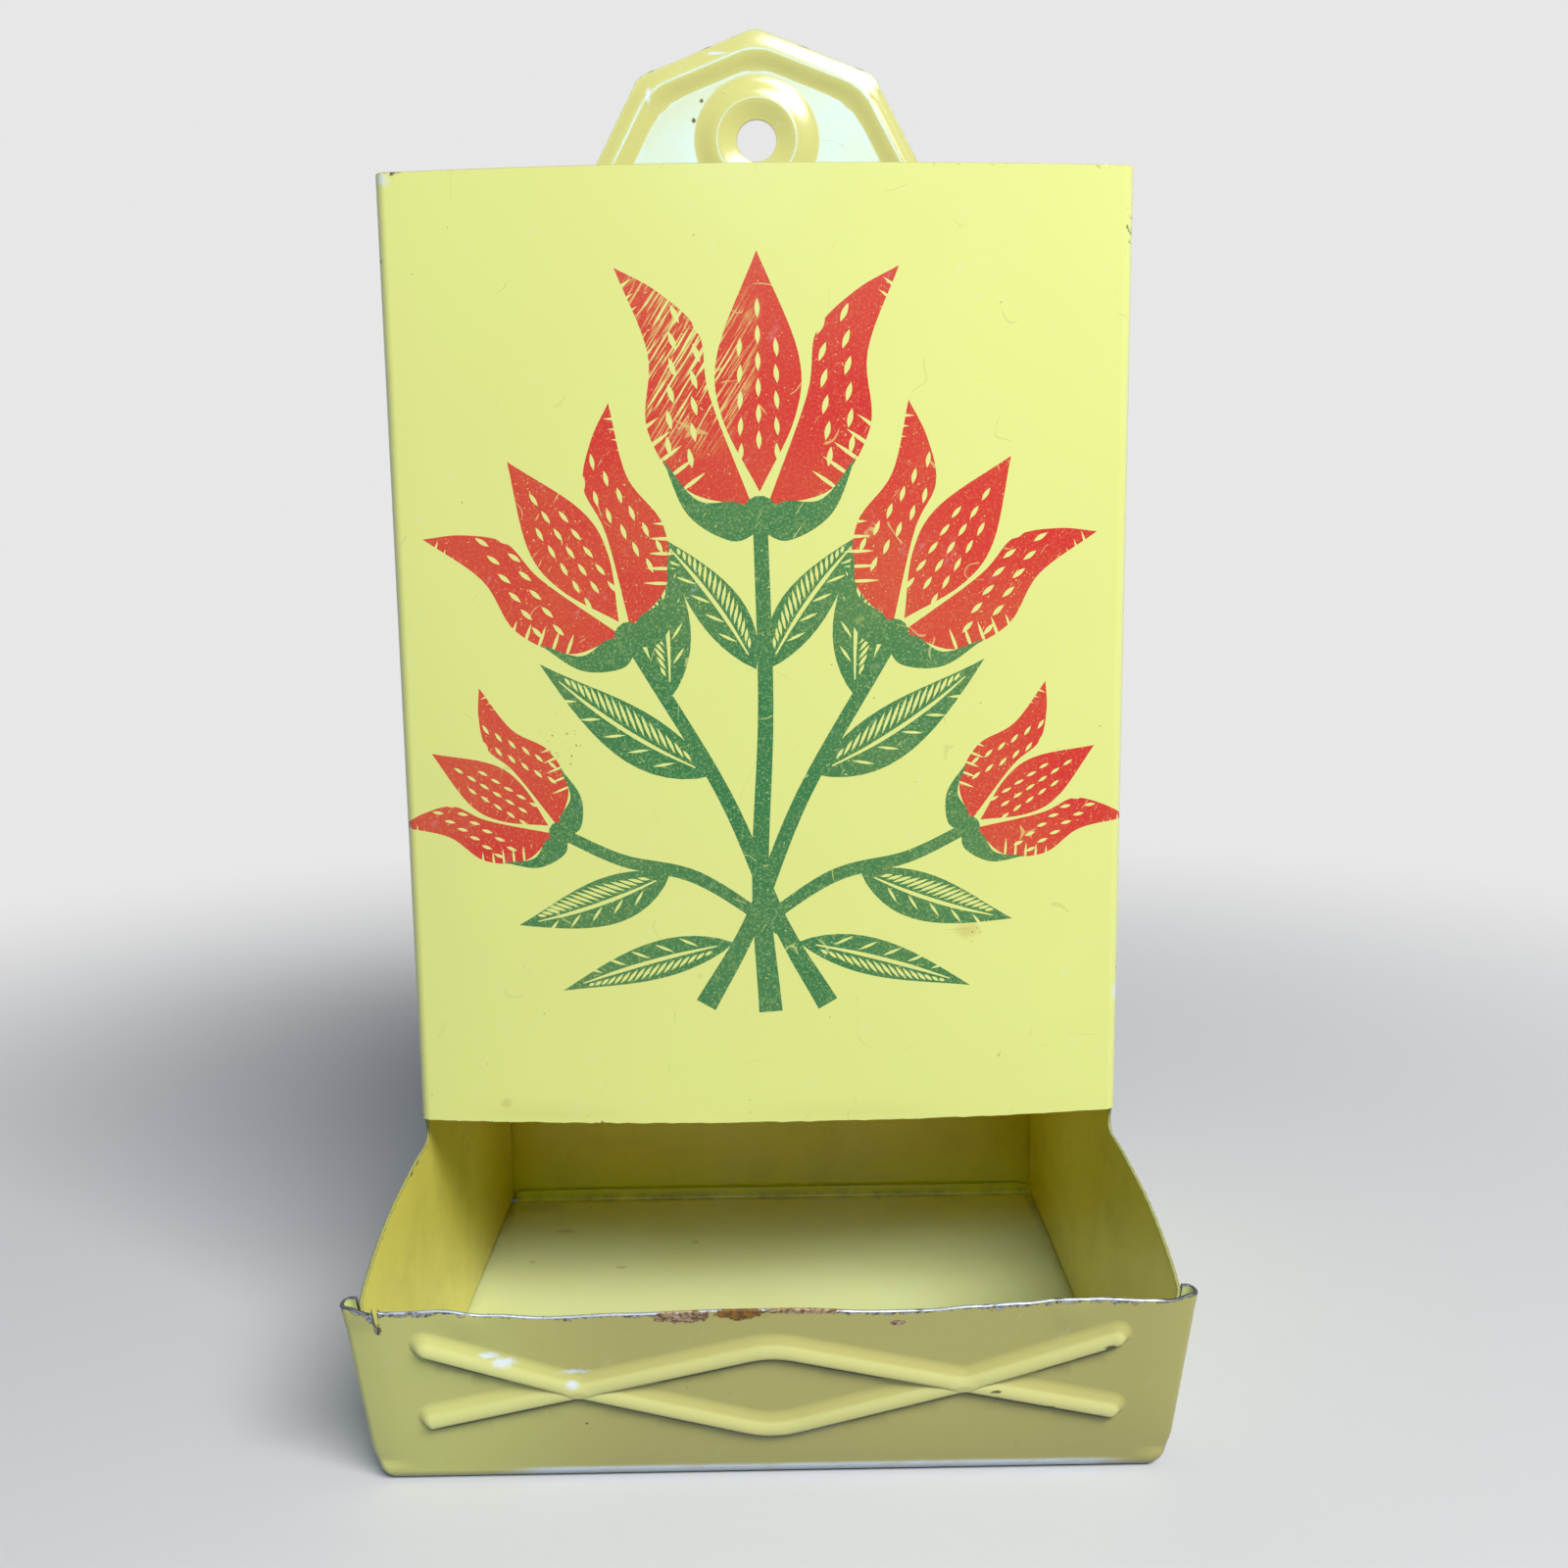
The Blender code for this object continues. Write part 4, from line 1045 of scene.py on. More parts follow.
# Stems as (points, widths), leaves as (x, z, degrees, length, curve, wide, hatch) and tulips as
# (x, z, degrees, size, seed). Each also stands mirrored, and z counts from the mouth
STEMS = (
    (((6.5, 13.2), (1.6, 22), (-4.2, 36), (-13.5, 52)), (2.3, 1.7, 1.5, 1.4)),
    (((2.0, 21), (-7, 27), (-15, 29), (-21.5, 32)), (1.2, 1.4, 1.3, 1.2)),
)
MIDDLE_STEM = (((0.4, 12.4), (-0.5, 27), (0.3, 45), (0, 65)), (2.5, 1.8, 1.6, 1.5))
LEAVES = (
    (0.6, 49, 27, 17, 0.16, 0.16, -1),
    (5.2, 38, 68, 21, -0.2, 0.15, -1),
    (9.6, 46, -2, 18, 0.12, 0.15, 1),
    (10, 27.6, 118, 17, -0.16, 0.17, -1),
    (3.4, 20, 100, 19, 0.1, 0.12, 1),
)
TULIPS = ((14, 53, 34, 20.5, 5), (22, 32.3, 58, 15, 8))


def spray():
    """The whole print, the lowest shape first."""
    low = MOUTH_HEIGHT
    stems = [(stem, sign) for sign in (-1, 1) for stem in STEMS] + [(MIDDLE_STEM, 1)]
    shapes = [(stroke([(sign * x, low + z) for x, z in points], widths), GREEN_INK)
              for (points, widths), sign in stems]
    for sign in (-1, 1):
        for x, z, degrees, length, curve, wide, hatch in LEAVES:
            shapes += leaf((sign * x, low + z), sign * degrees, length, sign * curve, wide, sign * hatch)
        for x, z, degrees, size, seed in TULIPS:
            shapes += tulip((sign * x, low + z), sign * degrees, size, seed + sign)
    return shapes + tulip((0, low + 65.5), 0, 24.5, 3)


# Body wrap: front panel, side walls and wings from one blank, drawn in (s, z) with s = 0 in the middle

def apron_line(height, setback):
    """(y, z) of a line behind the apron and parallel to it, at a height up its slope."""
    cos, sin = math.cos(APRON_LEAN), math.sin(APRON_LEAN)
    return vec(FOOT_Y, HALF_SHEET) + vec(-sin, cos) * height + vec(cos, sin) * setback


def full_flare(z):
    """How far the wing's front edge stands out from the wall at this height."""
    top = apron_line(APRON_HEIGHT, 0)[1]
    return mix(WING_FLARE_FOOT, WING_FLARE_TOP, (z - WALL_FOOT_Z) / (top - WALL_FOOT_Z))


def flare(y, z):
    """How far the wing stands out from the plane of the wall, beyond its rounded crease."""
    foot = apron_line(0, WING_SETBACK)
    front_y = foot[0] - (z - foot[1]) * math.tan(APRON_LEAN)
    crease = mix(CREASE_TOP[0], CREASE_FOOT[0], (z - CREASE_TOP[1]) / (CREASE_FOOT[1] - CREASE_TOP[1]))
    ahead = crease - y
    ahead = (ahead + np.sqrt(ahead**2 + CREASE_SOFT**2)) / 2
    return full_flare(z) * ahead / (crease - front_y)


def to_blank(points):
    """(y, z) points of the right side wall as (s, z) points of the blank."""
    return [vec(p[0] - PANEL_CORNER_Y + CORNER_S, p[1]) for p in points]


def wall_outline():
    """The right side wall in (s, z), and the stretches of its edge that carry a bend."""
    wing_top = apron_line(APRON_HEIGHT + WING_RISE, WING_SETBACK)
    flange_top = apron_line(APRON_HEIGHT - FLANGE_DROP, WING_SETBACK)
    foot_height = WING_SETBACK * (1 - math.sin(APRON_LEAN)) / math.cos(APRON_LEAN)
    sharp_corner = apron_line(foot_height, WING_SETBACK)
    flange_foot = sharp_corner + unit(flange_top - sharp_corner) * WING_CORNER
    bottom_front = sharp_corner + vec(WING_CORNER, 0)

    start, crease = vec(PANEL_CORNER_Y, MOUTH_HEIGHT), vec(*CREASE_TOP)
    relief = [start + vec(RELIEF_DEPTH * back, -RELIEF_DROP * down) for back, down in RELIEF_SHARES]
    wing_edge = [mix(crease, wing_top, vec(*share)) for share in WING_EDGE_SHARES]
    # Small dents in the snipped edge
    edge = smooth_through([crease, *wing_edge, wing_top], 10)
    for i in range(2, len(edge) - 2):
        edge[i] = edge[i] + vec(0, EDGE_DENT * math.sin(1.9 * i) * math.sin(0.37 * i))

    corner = [mix(mix(flange_foot, sharp_corner, t), mix(sharp_corner, bottom_front, t), t)
              for t in np.linspace(0, 1, 12)[1:-1]]
    front = to_blank(subdivide([flange_top, flange_foot]))
    bottom = to_blank(subdivide([bottom_front, CREASE_FOOT, (WALL_REAR_Y, WALL_FOOT_Z)]))
    rear = to_blank(subdivide([(WALL_REAR_Y, REAR_SEAM_Z), (WALL_REAR_Y, BODY_TOP)]))
    free = to_blank(smooth_through([start, *relief, crease], 6) + edge[1:])
    return free, front, to_blank(corner), bottom, rear


def body_place(points, ref):
    """The blank bent round the panel's bow and its two corners."""
    s, z = points[:, 0], points[:, 1]
    side = np.sign(ref[:, 0])
    reach = np.abs(s)
    angle = s / BOW_RADIUS
    x, y = BOW_RADIUS * np.sin(angle), BOW_CENTRE_Y - BOW_RADIUS * np.cos(angle)
    # The panel's faint waviness, which fades out at its corners
    calm = ease((BOW_ARC - reach) / 8)
    wide, fine = PANEL_WAVES
    y = y + calm * (wide * np.sin(s / 9.5 + z / 23) + fine * np.sin(z / 8.3 - s / 17 + 1))
    # Its bottom edge is folded down a little unevenly
    lip = ease((MOUTH_HEIGHT + LIP_FOLD - z) / LIP_FOLD)
    y = y + calm * lip * LIP_WAVE * (1 + np.sin(s / 5.1))
    turn = HALF_SPAN + (reach - BOW_ARC) / PANEL_CORNER_RADIUS
    corner_x = side * (PANEL_CORNER_X + PANEL_CORNER_RADIUS * np.sin(turn))
    corner_y = PANEL_CORNER_Y - PANEL_CORNER_RADIUS * np.cos(turn)
    wall_y = PANEL_CORNER_Y + reach - CORNER_S
    wall_x = side * (HALF_WALL + flare(wall_y, z))
    in_corner = (reach > BOW_ARC) & (reach <= CORNER_S)
    in_wall = (reach > CORNER_S) | (ref[:, 1] < MOUTH_HEIGHT - RELIEF_DROP / 2)
    x = np.where(in_wall, wall_x, np.where(in_corner, corner_x, x))
    y = np.where(in_wall, wall_y, np.where(in_corner, corner_y, y))
    return np.stack([x, y, z], axis=1)


def body_shell(materials, backs):
    free, front, corner, bottom, rear = wall_outline()
    # From the top of the right wall's rear edge round the wall to the mouth
    half = [*rear[::-1], *bottom[::-1], *corner[::-1], *front[::-1], *free[::-1]]
    rear_top = rear[-1]
    reaches = (-rear_top[0], -CORNER_S, -BOW_ARC, BOW_ARC, CORNER_S, rear_top[0])
    top = subdivide([(s, BODY_TOP) for s in reaches])
    ends = free[0], mirrored(free)[-1]
    mouth = subdivide([ends[0], (BOW_ARC, MOUTH_HEIGHT), (-BOW_ARC, MOUTH_HEIGHT), ends[1]], 1.0)
    draw = random.Random(11)
    for i in range(3, len(mouth) - 3):
        mouth[i] = mouth[i] + vec(0, MOUTH_WAVER * draw.uniform(-1, 1))
    loop = [*top[:-1], *half, *mouth[1:-1], *mirrored(half)][:-1]
    reaches = [side * s for s in np.linspace(BOW_ARC, CORNER_S, 6) for side in (1, -1)]
    lines = [[(s, MOUTH_HEIGHT), (s, BODY_TOP)] for s in reaches]
    heights = [MOUTH_HEIGHT + d for d in MOUTH_LINE_HEIGHTS]
    for z in (*heights, *np.linspace(MOUTH_HEIGHT + 2.8, BODY_TOP, 33)[:-1]):
        lines.append([(-BOW_ARC, z), (BOW_ARC, z)])
    for s in np.linspace(-BOW_ARC, BOW_ARC, 26)[1:-1]:
        lines.append([(s, MOUTH_HEIGHT), (s, BODY_TOP)])
    crease = to_blank([CREASE_TOP, CREASE_FOOT])
    for shift in CREASE_LINE_SHIFTS:
        line = subdivide([p + vec(shift, 0) for p in crease])
        lines += [line, mirrored(line)]
    dots = [(side * s, z) for s in np.arange(CORNER_S - 22, rear_top[0], WALL_PITCH)
            for z in np.arange(2.5, BODY_TOP - 1, WALL_PITCH) for side in (1, -1)]
    dots = inner_dots(dots, loop, 0.9)
    dots = dots[(np.abs(dots[:, 0]) > CORNER_S + 1) | (dots[:, 1] < MOUTH_HEIGHT - 1)]
    sheet = Sheet()
    sheet.pattern([loop], lines, dots, body_place, spray())
    ahead = (0, -math.cos(APRON_LEAN), -math.sin(APRON_LEAN))
    for side in (1, -1):
        for path, out in ((rear, (0, 1, 0)), (bottom, (0, 0, -1)), (front, ahead)):
            path = path if side > 0 else mirrored(path)
            sheet.bend(sheet.run(path), out, (side, 0, 0), FLANGE)
    return sheet.solid("body_shell", materials, backs)


# Back panel: a flat sheet with rolled sides and the embossed hanger, drawn in (x, z)

def tab_line(inset):
    """The hanger's edge from its right foot to its left foot, moved inwards by the inset."""
    corners = [vec(TAB_FOOT_REACH, BODY_TOP), vec(TAB_SHOULDER_REACH, BODY_TOP + TAB_SHOULDER_HEIGHT),
               vec(0, BODY_TOP + TAB_HEIGHT)]
    side, slope = unit(corners[1] - corners[0]), unit(corners[2] - corners[1])
    side_in, slope_in = -right_of(side), -right_of(slope)
    foot = corners[0] + side_in * inset
    foot = foot - side * (foot[1] - BODY_TOP) / side[1]
    shoulder = corners[1] + (side_in + slope_in) / (1 + side_in @ slope_in) * inset
    peak = vec(0, corners[2][1] + inset / slope_in[1])
    return [foot, shoulder, peak, *mirrored([foot, shoulder])]


def smooth_min(a, b, soft):
    blend = np.maximum(soft - np.abs(a - b), 0) / soft
    return np.minimum(a, b) - blend**2 * soft / 4


def tab_inset(x, z):
    """Distance from the tab's edge, taken inwards from its nearest side, with rounded mitres."""
    foot, shoulder, peak, *_ = tab_line(0)
    inset = None
    for mirror in (1, -1):
        for a, b in ((foot, shoulder), (shoulder, peak)):
            along = unit(b - a)
            distance = along[0] * (z - a[1]) - along[1] * (mirror * x - a[0])
            inset = distance if inset is None else smooth_min(inset, distance, MITRE_ROUND)
    return inset


def back_place(points, ref):
    """The flat sheet with the hanger's rim and ring embossed in it."""
    x, z = points[:, 0], points[:, 1]
    inset = np.maximum(tab_inset(x, z), 0)
    outer = mix(RIM_EDGE_SHARE, 1, ease(inset / RIM_CREST_INSET))
    inner = 1 - ease((inset - RIM_CREST_INSET) / (RIM_FOOT_INSET - RIM_CREST_INSET))
    lift = RIM_LIFT * np.where(inset < RIM_CREST_INSET, outer, inner)
    lift = lift * ease((z - BODY_TOP - RIM_FADE_START) / RIM_FADE_LENGTH)
    radius = np.hypot(x, z - BODY_TOP - HOLE_HEIGHT)
    cone = np.clip((radius - HOLE_RADIUS) / (RING_CREST_RADIUS - HOLE_RADIUS), 0, 1)
    slope = 1 - ease((radius - RING_CREST_RADIUS) / (RING_FOOT_RADIUS - RING_CREST_RADIUS))
    lift = lift + RING_LIFT * np.minimum(cone, slope)
    return np.stack([x, BACK_Y - lift, z], axis=1)


def back_sheet(materials, backs):
    right = subdivide([(FLANGE_TIP_X, REAR_SEAM_Z), (FLANGE_TIP_X, BODY_TOP)])
    crown = subdivide(round_corners(tab_line(0), TAB_CORNER_RADIUS, 10), 1.0)
    bottom = subdivide([(-FLANGE_TIP_X, SEAM_GAP), (FLANGE_TIP_X, SEAM_GAP)])
    centre = vec(0, BODY_TOP + HOLE_HEIGHT)
    lines = []
    for radius in (*np.linspace(HOLE_RADIUS, RING_CREST_RADIUS, 6)[1:], 5.35,
                   *np.linspace(5.7, RING_FOOT_RADIUS, 7), 9.0):
        ring = circle(centre, radius, 56)
        lines.append(ring + ring[:1])
    for inset in RIM_LINE_INSETS:
        radius = max(TAB_CORNER_RADIUS - inset / 2, 0.35)
        lines.append(subdivide(round_corners(tab_line(inset), radius, 5), 1.1))
    narrowing = TAB_FOOT_REACH - TAB_SHOULDER_REACH
    for z in BODY_TOP + np.linspace(0, 7, 12):
        reach = TAB_FOOT_REACH - (z - BODY_TOP) * narrowing / TAB_SHOULDER_HEIGHT
        lines.append(level_line(reach, z, 0.02, 2.5))
    xs = np.arange(-36, 37, DOT_PITCH)
    dots = [(x, z) for x in xs for z in np.arange(3, BODY_TOP - 1, DOT_PITCH)]
    loops = [[*bottom, *right, *crown, *mirrored(right)], circle(centre, HOLE_RADIUS, 48)]
    sheet = Sheet()
    sheet.pattern(loops, lines, dots, back_place)
    heights = np.array(sheet.flat)[:, 1]
    sheet.paints = [HANGER if heights[list(face)].mean() > BODY_TOP else INSIDE for face in sheet.faces]
    for side, path in ((1, right), (-1, mirrored(right))):
        sheet.bend(sheet.run(path), (side, 0, 0), (0, -1, 0), ROLL)
    # The hanger's field leans back by a hair, so it takes the lamp's glare while its embossing doesn't
    lean = math.tan(math.radians(FIELD_LEAN))
    for i, ((x, z), normal) in enumerate(zip(sheet.flat, sheet.normals)):
        if z > BODY_TOP and abs(normal[1]) > FIELD_FLATNESS:
            facing = math.copysign(1, -normal[1])
            sheet.normals[i] = unit(normal + facing * UP * lean * float(ease((z - BODY_TOP) / 4)))
    return sheet.solid("back_sheet", materials, backs)


# Tray: drawn in (x, s), and s runs forward along the floor and up the apron

def strip_frame(s):
    """(y, z, inward) of the strip at x = 0, without its embossing, for arrays of s."""
    s = np.asarray(s, float)
    rear_turn = np.clip((FLOOR_REAR_S - s) / BEND_RADIUS, 0, math.pi / 2)
    front_turn = np.clip(s / FOOT_RADIUS, 0, FOOT_TURN)
    is_rear = s < FLOOR_REAR_S
    rise = np.maximum(FLOOR_REAR_S - s - LIP_ARC, 0)
    up = np.maximum(s - FOOT_ARC, 0)
    rear_y = WALL_REAR_Y + BEND_RADIUS * np.sin(rear_turn)
    rear_z = HALF_SHEET + BEND_RADIUS * (1 - np.cos(rear_turn)) + rise
    flat_y = FLOOR_FRONT_Y - np.minimum(s, 0)
    front_y = flat_y - FOOT_RADIUS * np.sin(front_turn) - up * np.cos(front_turn)
    front_z = HALF_SHEET + FOOT_RADIUS * (1 - np.cos(front_turn)) + up * np.sin(front_turn)
    turn = np.where(is_rear, -rear_turn, front_turn)
    inward = np.stack([np.zeros_like(s), np.sin(turn), np.cos(turn)], axis=-1)
    return np.where(is_rear, rear_y, front_y), np.where(is_rear, rear_z, front_z), inward


def rib_lines():
    """The two ribs in (x, s), each rounded where it turns in the middle."""
    ribs = []
    rise = FOOT_ARC - FOOT_TANGENT
    for end, middle in ((RIB_END_TOP, LATTICE_BOTTOM), (RIB_END_BOTTOM, LATTICE_TOP)):
        half = [vec(LATTICE_REACH, end + rise), vec(CROSSING_REACH, CROSSING_HEIGHT + rise)]
        turn = round_corners([half[1], vec(0, middle + rise), *mirrored(half[1:])], RIB_TURN_RADIUS, 24)
        ribs.append([half[0], *turn, mirrored(half)[-1]])
    return ribs


RIBS = rib_lines()


def apron_wave(x):
    share = np.clip(x / TRAY_TOP_X, -1, 1)
    shares, waves = np.array(EDGE_WAVE_SHARES).T
    k = np.clip(np.searchsorted(shares, share) - 1, 0, len(shares) - 2)
    t = (share - shares[k]) / (shares[k + 1] - shares[k])
    return EDGE_WAVE * mix(waves[k], waves[k + 1], ease(t))


def tray_side_x(s):
    """Half width of the strip where its side rolls begin: over the tips of the wall's flanges."""
    y, z, _ = strip_frame(s)
    on_apron = full_flare(np.maximum(z, WALL_FOOT_Z))
    stand_out = np.where(np.asarray(s) <= 0, flare(y, WALL_FOOT_Z), on_apron)
    share = np.minimum(np.abs(np.asarray(s) - FOOT_ARC / 2) / CORNER_DIP_LENGTH, 1)
    return FLANGE_TIP_X + stand_out - CORNER_DIP * (1 - share)**2


def rib_reach(up):
    """How far a rib reaches from its crest, in the direction whose upward share is up."""
    return RIB_WIDTH / 2 * (1 + np.where(up > 0, RIB_SKEW, RIB_UNDERCUT) * up)


def rib_share(points, rib):
    """0 on a rib's crest to 1 at its foot and more beyond it, and the upward share of the way there."""
    reach, up = np.full(len(points), np.inf), np.zeros(len(points))
    for a, b in zip(rib, rib[1:]):
        along = b - a
        share = np.clip((points - a) @ along / (along @ along), 0, 1)
        offset = points - a - share[:, None] * along
        length = np.linalg.norm(offset, axis=1)
        up = np.where(length < reach, offset[:, 1] / np.maximum(length, TINY), up)
        reach = np.minimum(reach, length)
    return reach / rib_reach(up), up


def lattice_lift(points):
    """The ribs together, from 0 beside them to 1 on their crests.

    The lower face of a rib is the steeper one, and the ribs run softly into one another.
    """
    total = np.zeros(len(points))
    for line in RIBS:
        share, up = rib_share(points, line)
        share = np.clip(share, 0, 1)
        steep = np.where(share < 0.5, 2 * share**2, 1 - 2 * (1 - share)**2)
        lift = 1 - mix(ease(share), steep, np.clip(-2 * up, 0, 1))
        fill = np.clip(1 - np.abs(total - lift) / RIB_UNION, 0, 1)**2 * RIB_UNION / 4
        fill = fill * ease(np.minimum(total, lift) / RIB_UNION)
        total = np.minimum(np.maximum(total, lift) + fill, RIB_UNION_TOP)
    return total


# The dirt and painted shade below a rib, by its share of the way to the rib's foot, and how far out it
# fades
CREASE_DARK_SHARES = ((0.72, 0.95, 1.3, 1.72), (0, 1, 1, 0))
CREASE_DARK_FADE = (LATTICE_REACH - 1.5, LATTICE_REACH + 0.8)


def lattice_foot(points):
    """1 in the crease below each rib, where dirt and painted shade go, 0 away from it and -1 on the
    crests, where a painted highlight goes.
    """
    nearest, below = np.full(len(points), np.inf), np.zeros(len(points))
    for line in RIBS:
        share, up = rib_share(points, line)
        below = np.where(share < nearest, np.clip(-2 * up, 0, 1), below)
        nearest = np.minimum(nearest, share)
    crest = ease((lattice_lift(points) - 0.3) / 0.5)
    below = below * np.interp(np.abs(points[:, 0]), CREASE_DARK_FADE, (1, 0))
    return below * np.interp(nearest, *CREASE_DARK_SHARES) - crest


def tray_place(points, ref):
    """The strip bent at its lip and foot, with the bow, embossing and dents of its apron."""
    x, s = points[:, 0], points[:, 1]
    y, z, inward = strip_frame(s)
    # The height up the apron's slope, from the sharp corner that its foot would have
    height = s - FOOT_ARC + FOOT_TANGENT
    on_apron = ease((s - FOOT_ARC) / 1.5)
    half = TRAY_TOP_X + SEAM_PITCH
    y = y - on_apron * APRON_BOW * (1 - (x / half)**2) * height / APRON_HEIGHT
    # The apron's ends lean back into their rolls
    end = np.clip((np.abs(x) - tray_side_x(s) + CROWN_REACH) / CROWN_REACH, 0, 1.5)
    y = y + on_apron * CROWN_DROP * end**2
    lift = RIB_LIFT * lattice_lift(points)
    # A bump near each upper corner, a little wider than high
    away = np.hypot(np.abs(x) - BUMP_PLACE[0], (height - BUMP_PLACE[1]) * 1.3)
    lift = lift + BUMP_LIFT * (1 - ease(away / BUMP_RADIUS)) * on_apron
    torn = (ref[:, 0] < -TEAR_X) & (height > APRON_HEIGHT - 4)
    y = y - np.where(torn, TEAR_GAPE * ease((height - APRON_HEIGHT + 3) / 4), 0)
    # The floor is a little slack
    slack = FLOOR_SLACK * (1 + np.sin(x / 11) * np.sin(s / 9))
    z = z + np.where(s < -3, slack * ease((-3 - s) / 3), 0)
    return np.stack([x, y, z], axis=1) - inward * lift[:, None]


TRAY_TOP_X = float(tray_side_x(FOOT_ARC + APRON_HEIGHT))
# Mesh lines beside a rib's crest, from its upper to its lower side, and round its ends
RIB_LINE_SHARES = (-0.83, -0.7, -0.62, -0.54, -0.46, -0.36, -0.27, -0.18, -0.09,
                   0, 0.25, 0.5, 0.75, 1.0, 1.25, 1.5, 1.8)
RIB_CAP_SHARES = (0.17, 0.33, 0.5, 0.67, 0.83, 1.0, 1.12, 1.3, 1.5, 1.72)


def rib_mesh_lines(rib):
    """Lines along a rib and round its two ends, so that the mesh follows its slopes."""
    spine = subdivide(rib, 0.9)
    lines = [[point - right_of(along) * RIB_WIDTH / 2 * share * np.sign(along[0])
              for point, along in zip(spine, headings(spine))] for share in RIB_LINE_SHARES]
    for end, inner in ((spine[0], spine[1]), (spine[-1], spine[-2])):
        away = unit(end - inner)
        for share in RIB_CAP_SHARES:
            spokes = [away * math.cos(a) + right_of(away) * math.sin(a)
                      for a in np.linspace(-math.pi / 2, math.pi / 2, 13)]
            # The outermost run below the end only
            spokes = [spoke for spoke in spokes if share < 1.2 or spoke[1] < 0.3]
            lines.append([end + spoke * share * rib_reach(spoke[1]) for spoke in spokes])
    return lines


def tray_shell(materials, backs):
    crease_s = FLOOR_FRONT_Y - CREASE_FOOT[0]
    middle = FOOT_ARC / 2
    stations = sorted([
        *np.arange(FLOOR_REAR_S, middle - CORNER_DIP_LENGTH - 0.8, 1.6),
        crease_s - 0.5, crease_s, crease_s + 0.5,
        *np.linspace(middle - CORNER_DIP_LENGTH, 0, 9),
        *np.linspace(0, FOOT_ARC, 9)[1:],
        *np.linspace(FOOT_ARC, middle + CORNER_DIP_LENGTH, 7)[1:],
        *np.arange(middle + CORNER_DIP_LENGTH + 1.2, FOOT_ARC + APRON_HEIGHT - 1.4, 1.3),
    ])
    path = [vec(tray_side_x(s), s) for s in stations]
    level = APRON_HEIGHT + FOOT_ARC - FOOT_TANGENT
    xs = np.linspace(TRAY_TOP_X, -TRAY_TOP_X, 181)
    top = [vec(x, level + w) for x, w in zip(xs, apron_wave(xs))]
    lip_s = FLOOR_REAR_S - LIP_ARC - (LIP_HEIGHT - BEND_RADIUS - HALF_SHEET)
    lip = [vec(side * LIP_HALF_WIDTH, s)
           for side, s in ((-1, FLOOR_REAR_S), (-1, lip_s), (1, lip_s), (1, FLOOR_REAR_S))]
    right, left = [*path, top[0]], [*mirrored(path)[::-1], top[-1]]
    # A short tear beside the left seam
    torn = [p for p in top[1:-1] if p[0] > TEAR_CLEAR - TEAR_X]
    torn += [vec(x - TEAR_X, level + rise) for x, rise in TEAR_SHAPE]
    torn += [p for p in top[1:-1] if p[0] < -TEAR_CLEAR - TEAR_X]
    loop = [*right, *torn, *left[::-1], *subdivide(round_corners(lip, LIP_CORNER, 6))[:-1]]
    levels = (*np.linspace(0, FOOT_ARC, 9), FOOT_ARC + 0.5, FOOT_ARC + 1, FOOT_ARC + 1.5, -0.6)
    lines = [level_line(tray_side_x(s), s, 0.05, 3.0) for s in levels]
    levels = [FLOOR_REAR_S - LIP_ARC * t for t in np.linspace(0, 1, 6)]
    lines += [level_line(LIP_HALF_WIDTH, s, 0.05, 4.0) for s in levels]
    for rib in RIBS:
        lines += rib_mesh_lines(rib)
    across, along = APRON_PITCH
    dots = [(x, s) for x in np.arange(-40.5, 41, across) for s in np.arange(2.4, level - 0.4, along)]
    dots += [(x, s) for x in np.arange(-36, 37, DOT_PITCH)
             for s in np.arange(FLOOR_REAR_S + 2, -1.5, DOT_PITCH)]
    sheet = Sheet()
    sheet.pattern([loop], lines, inner_dots(dots, loop, 0.6), tray_place)
    foot = lattice_foot(np.array(sheet.flat))
    for side, border in ((1, right), (-1, left)):
        run = sheet.run(border)
        flats = [sheet.flat[i] for i in run]
        at = np.array(flats)
        reach = np.array([side * right_of(along) for along in headings(flats)]) * NORMAL_REACH
        outs = unit(tray_place(at + reach, at) - tray_place(at - reach, at))
        turns = -np.array([sheet.normals[i] for i in run])
        steps = [ROLL_QUARTER if abs((a[1] + b[1]) / 2 - middle) < CORNER_DIP_LENGTH else len(ROLL)
                 for a, b in zip(flats, flats[1:])]
        sheet.bend(run, outs, turns, ROLL, steps)
    return sheet.solid("tray_shell", materials, backs, foot)


# Stage, light and camera

CAMERA_PLACE = (0.829, -168.887, 91.694)
CAMERA_YAW = 0.00834
CAMERA_PITCH = 0.14674
CAMERA_ROLL = -0.01258
CAMERA_FOCUS = 1497.4
PHOTO_WIDTH = 1600
SENSOR = 36
NEAREST_SEEN = 0.01
# Greys as the camera sees them and as they light the rest
BACKDROP = (0.8, 0.125)
FLOOR = (0.66, 0.16)
FLOOR_REACH = 3.0
FLOOR_ROUGHNESS = 0.9
FLOOR_SPECULAR = 0.1
FLOOR_FADE = (0.09, 0.34)
# Lamps as azimuth, elevation, distance, size, power, aim and colour
KEY_LAMP = (28, 42, 0.9, (0.6, 0.28), 10.5, (0, 0, 0.07), (1, 1, 1))
GLARE_LAMP = (0, 22.5, 1.2, (0.24, 0.14), 2.3, (0, 0.036, 0.143), (0.08, 0.4, 1))


def view_only_mix(n, seen, lit):
    """The grey seen for the camera and its mirrored rays, and the grey lit for all others."""
    path = n.make("LightPath")
    ends = ("Is Camera Ray", "Is Glossy Ray", "Is Transmission Ray")
    camera_ray, glossy, through = (n.feed(path, (), end) for end in ends)
    return n.blend(camera_ray | glossy | through, (lit, lit, lit, 1), (seen, seen, seen, 1))


